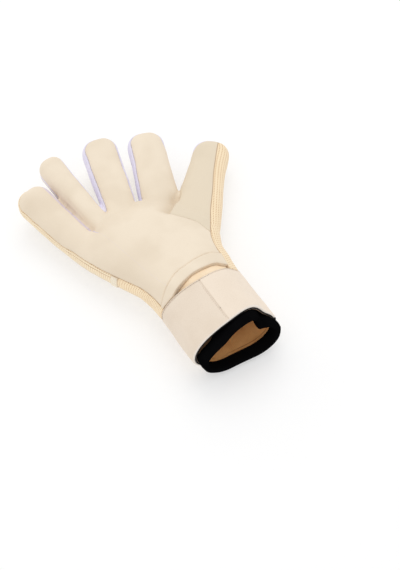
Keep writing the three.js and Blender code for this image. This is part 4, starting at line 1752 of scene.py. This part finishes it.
        # The thumb side's panel is a lighter copy of the same cloth: painted light, as if lit more from
        # that side
        right = StrapFinish("strap_cream_painted_lit", (245, 230, 212), (238, 222, 203)).build()
        down = np.linspace(-3, -s.strap_width + 4, 80)
        across = np.linspace(82, 186, 90)
        tack = np.linspace(-41.5, -39.5, 5)
        return [
            self.lining(),
            self.binding(),
            self.strap("strap_palm_panel", False, left),
            self.strap("strap_thumb_panel", True, right),
            self.edge_tape(),
            self.thread("strap_seam_stitches", down, self.seam_turns(down)[0] + 1.6, 0.02, (214, 196, 174)),
            self.thread("strap_edge_stitches", -1.7 + 0 * across, across, -0.05, (196, 178, 158), 3.2),
            self.thread("strap_tack_stitch", tack, self.seam_turns(tack)[0], 0.1, (96, 82, 70), 1.8),
        ]


@dataclass
class Studio:
    """Floor, soft light and a camera at the photograph's angle."""

    azimuth: float = -35.0
    elevation: float = 56.0
    roll: float = -1.0
    distance: float = 1300.0
    focal: float = 1397.85
    long_side: int = 570
    anchor: tuple[float, float, float] = (0.0, 0.0, 52.0)
    anchor_px: tuple[float, float] = (199.0, 281.0)
    middle_px: tuple[float, float] = (200.0, 285.0)
    floor_glow: float = 0.4
    sky: float = 0.85

    def camera(self) -> None:
        """The camera: it looks at a named point, which falls on its own pixel of the photograph."""
        a, e, r = (math.radians(v) for v in (self.azimuth, self.elevation, self.roll))
        back = np.array([math.sin(a) * math.cos(e), -math.cos(a) * math.cos(e), math.sin(e)])
        level = np.array([math.cos(a), math.sin(a), 0.0])
        upright = np.cross(back, level)
        right = level * math.cos(r) - upright * math.sin(r)
        up = upright * math.cos(r) + level * math.sin(r)
        across = (self.anchor_px[0] - self.middle_px[0]) / self.focal
        down = (self.anchor_px[1] - self.middle_px[1]) / self.focal
        place = np.array(self.anchor) + self.distance * (back - across * right + down * up)
        data = bpy.data.cameras.new("camera")
        data.sensor_width = 36.0
        data.lens = self.focal * data.sensor_width / self.long_side
        data.clip_start, data.clip_end = 0.05, 20.0
        camera = bpy.data.objects.new("camera", data)
        bpy.context.scene.collection.objects.link(camera)
        turn = np.eye(4)
        turn[:3, :3] = np.stack([right, up, back], axis=1)
        turn[:3, 3] = (place + SHIFT) * MM
        camera.matrix_world = Matrix(turn.tolist())
        bpy.context.scene.camera = camera

    def light(self, name: str, place: tuple[float, float, float], size: float, power: float) -> None:
        """A square soft light that faces the glove."""
        data = bpy.data.lights.new(name, "AREA")
        data.energy, data.size = power, size
        lamp = bpy.data.objects.new(name, data)
        bpy.context.scene.collection.objects.link(lamp)
        away = np.array(place) / np.linalg.norm(place)
        side = np.cross([0, 1, 0], away)
        side /= np.linalg.norm(side)
        turn = np.eye(4)
        turn[:3, :3] = np.stack([side, np.cross(away, side), away], axis=1)
        turn[:3, 3] = place
        lamp.matrix_world = Matrix(turn.tolist())

    def floor(self) -> None:
        """A wide pale floor."""
        mesh = bpy.data.meshes.new("floor")
        half = 3.0
        corners = [(-half, -half, 0), (half, -half, 0), (half, half, 0), (-half, half, 0)]
        mesh.from_pydata(corners, [], [(0, 1, 2, 3)])
        floor = bpy.data.objects.new("floor", mesh)
        bpy.context.scene.collection.objects.link(floor)
        material = PlainFinish("floor", (205, 205, 205), 0.9, 3, 0.04, self.floor_glow).build()
        mesh.materials.append(material)

    def build(self) -> None:
        """The whole studio."""
        scene = bpy.context.scene
        scene.view_settings.view_transform = "Standard"
        world = bpy.data.worlds.new("studio")
        world.use_nodes = True
        world.node_tree.nodes["Background"].inputs["Color"].default_value = (1, 1, 1, 1)
        world.node_tree.nodes["Background"].inputs["Strength"].default_value = self.sky
        scene.world = world
        self.floor()
        self.light("key", (0.5, 0.9, 1.5), 1.2, 6)
        self.light("fill", (-1.2, -0.6, 1.2), 1.6, 2)
        self.camera()


def main() -> None:
    """Builds the studio, the hand and the cuff, and reports each piece."""
    logging.basicConfig(level=logging.INFO, format="%(name)s %(message)s")
    Studio().build()
    form = HandForm()
    pieces = [*Hand(form).build(), *Cuff(form).build()]
    log.info("%d pieces", len(pieces))


if __name__ == "__main__":
    main()
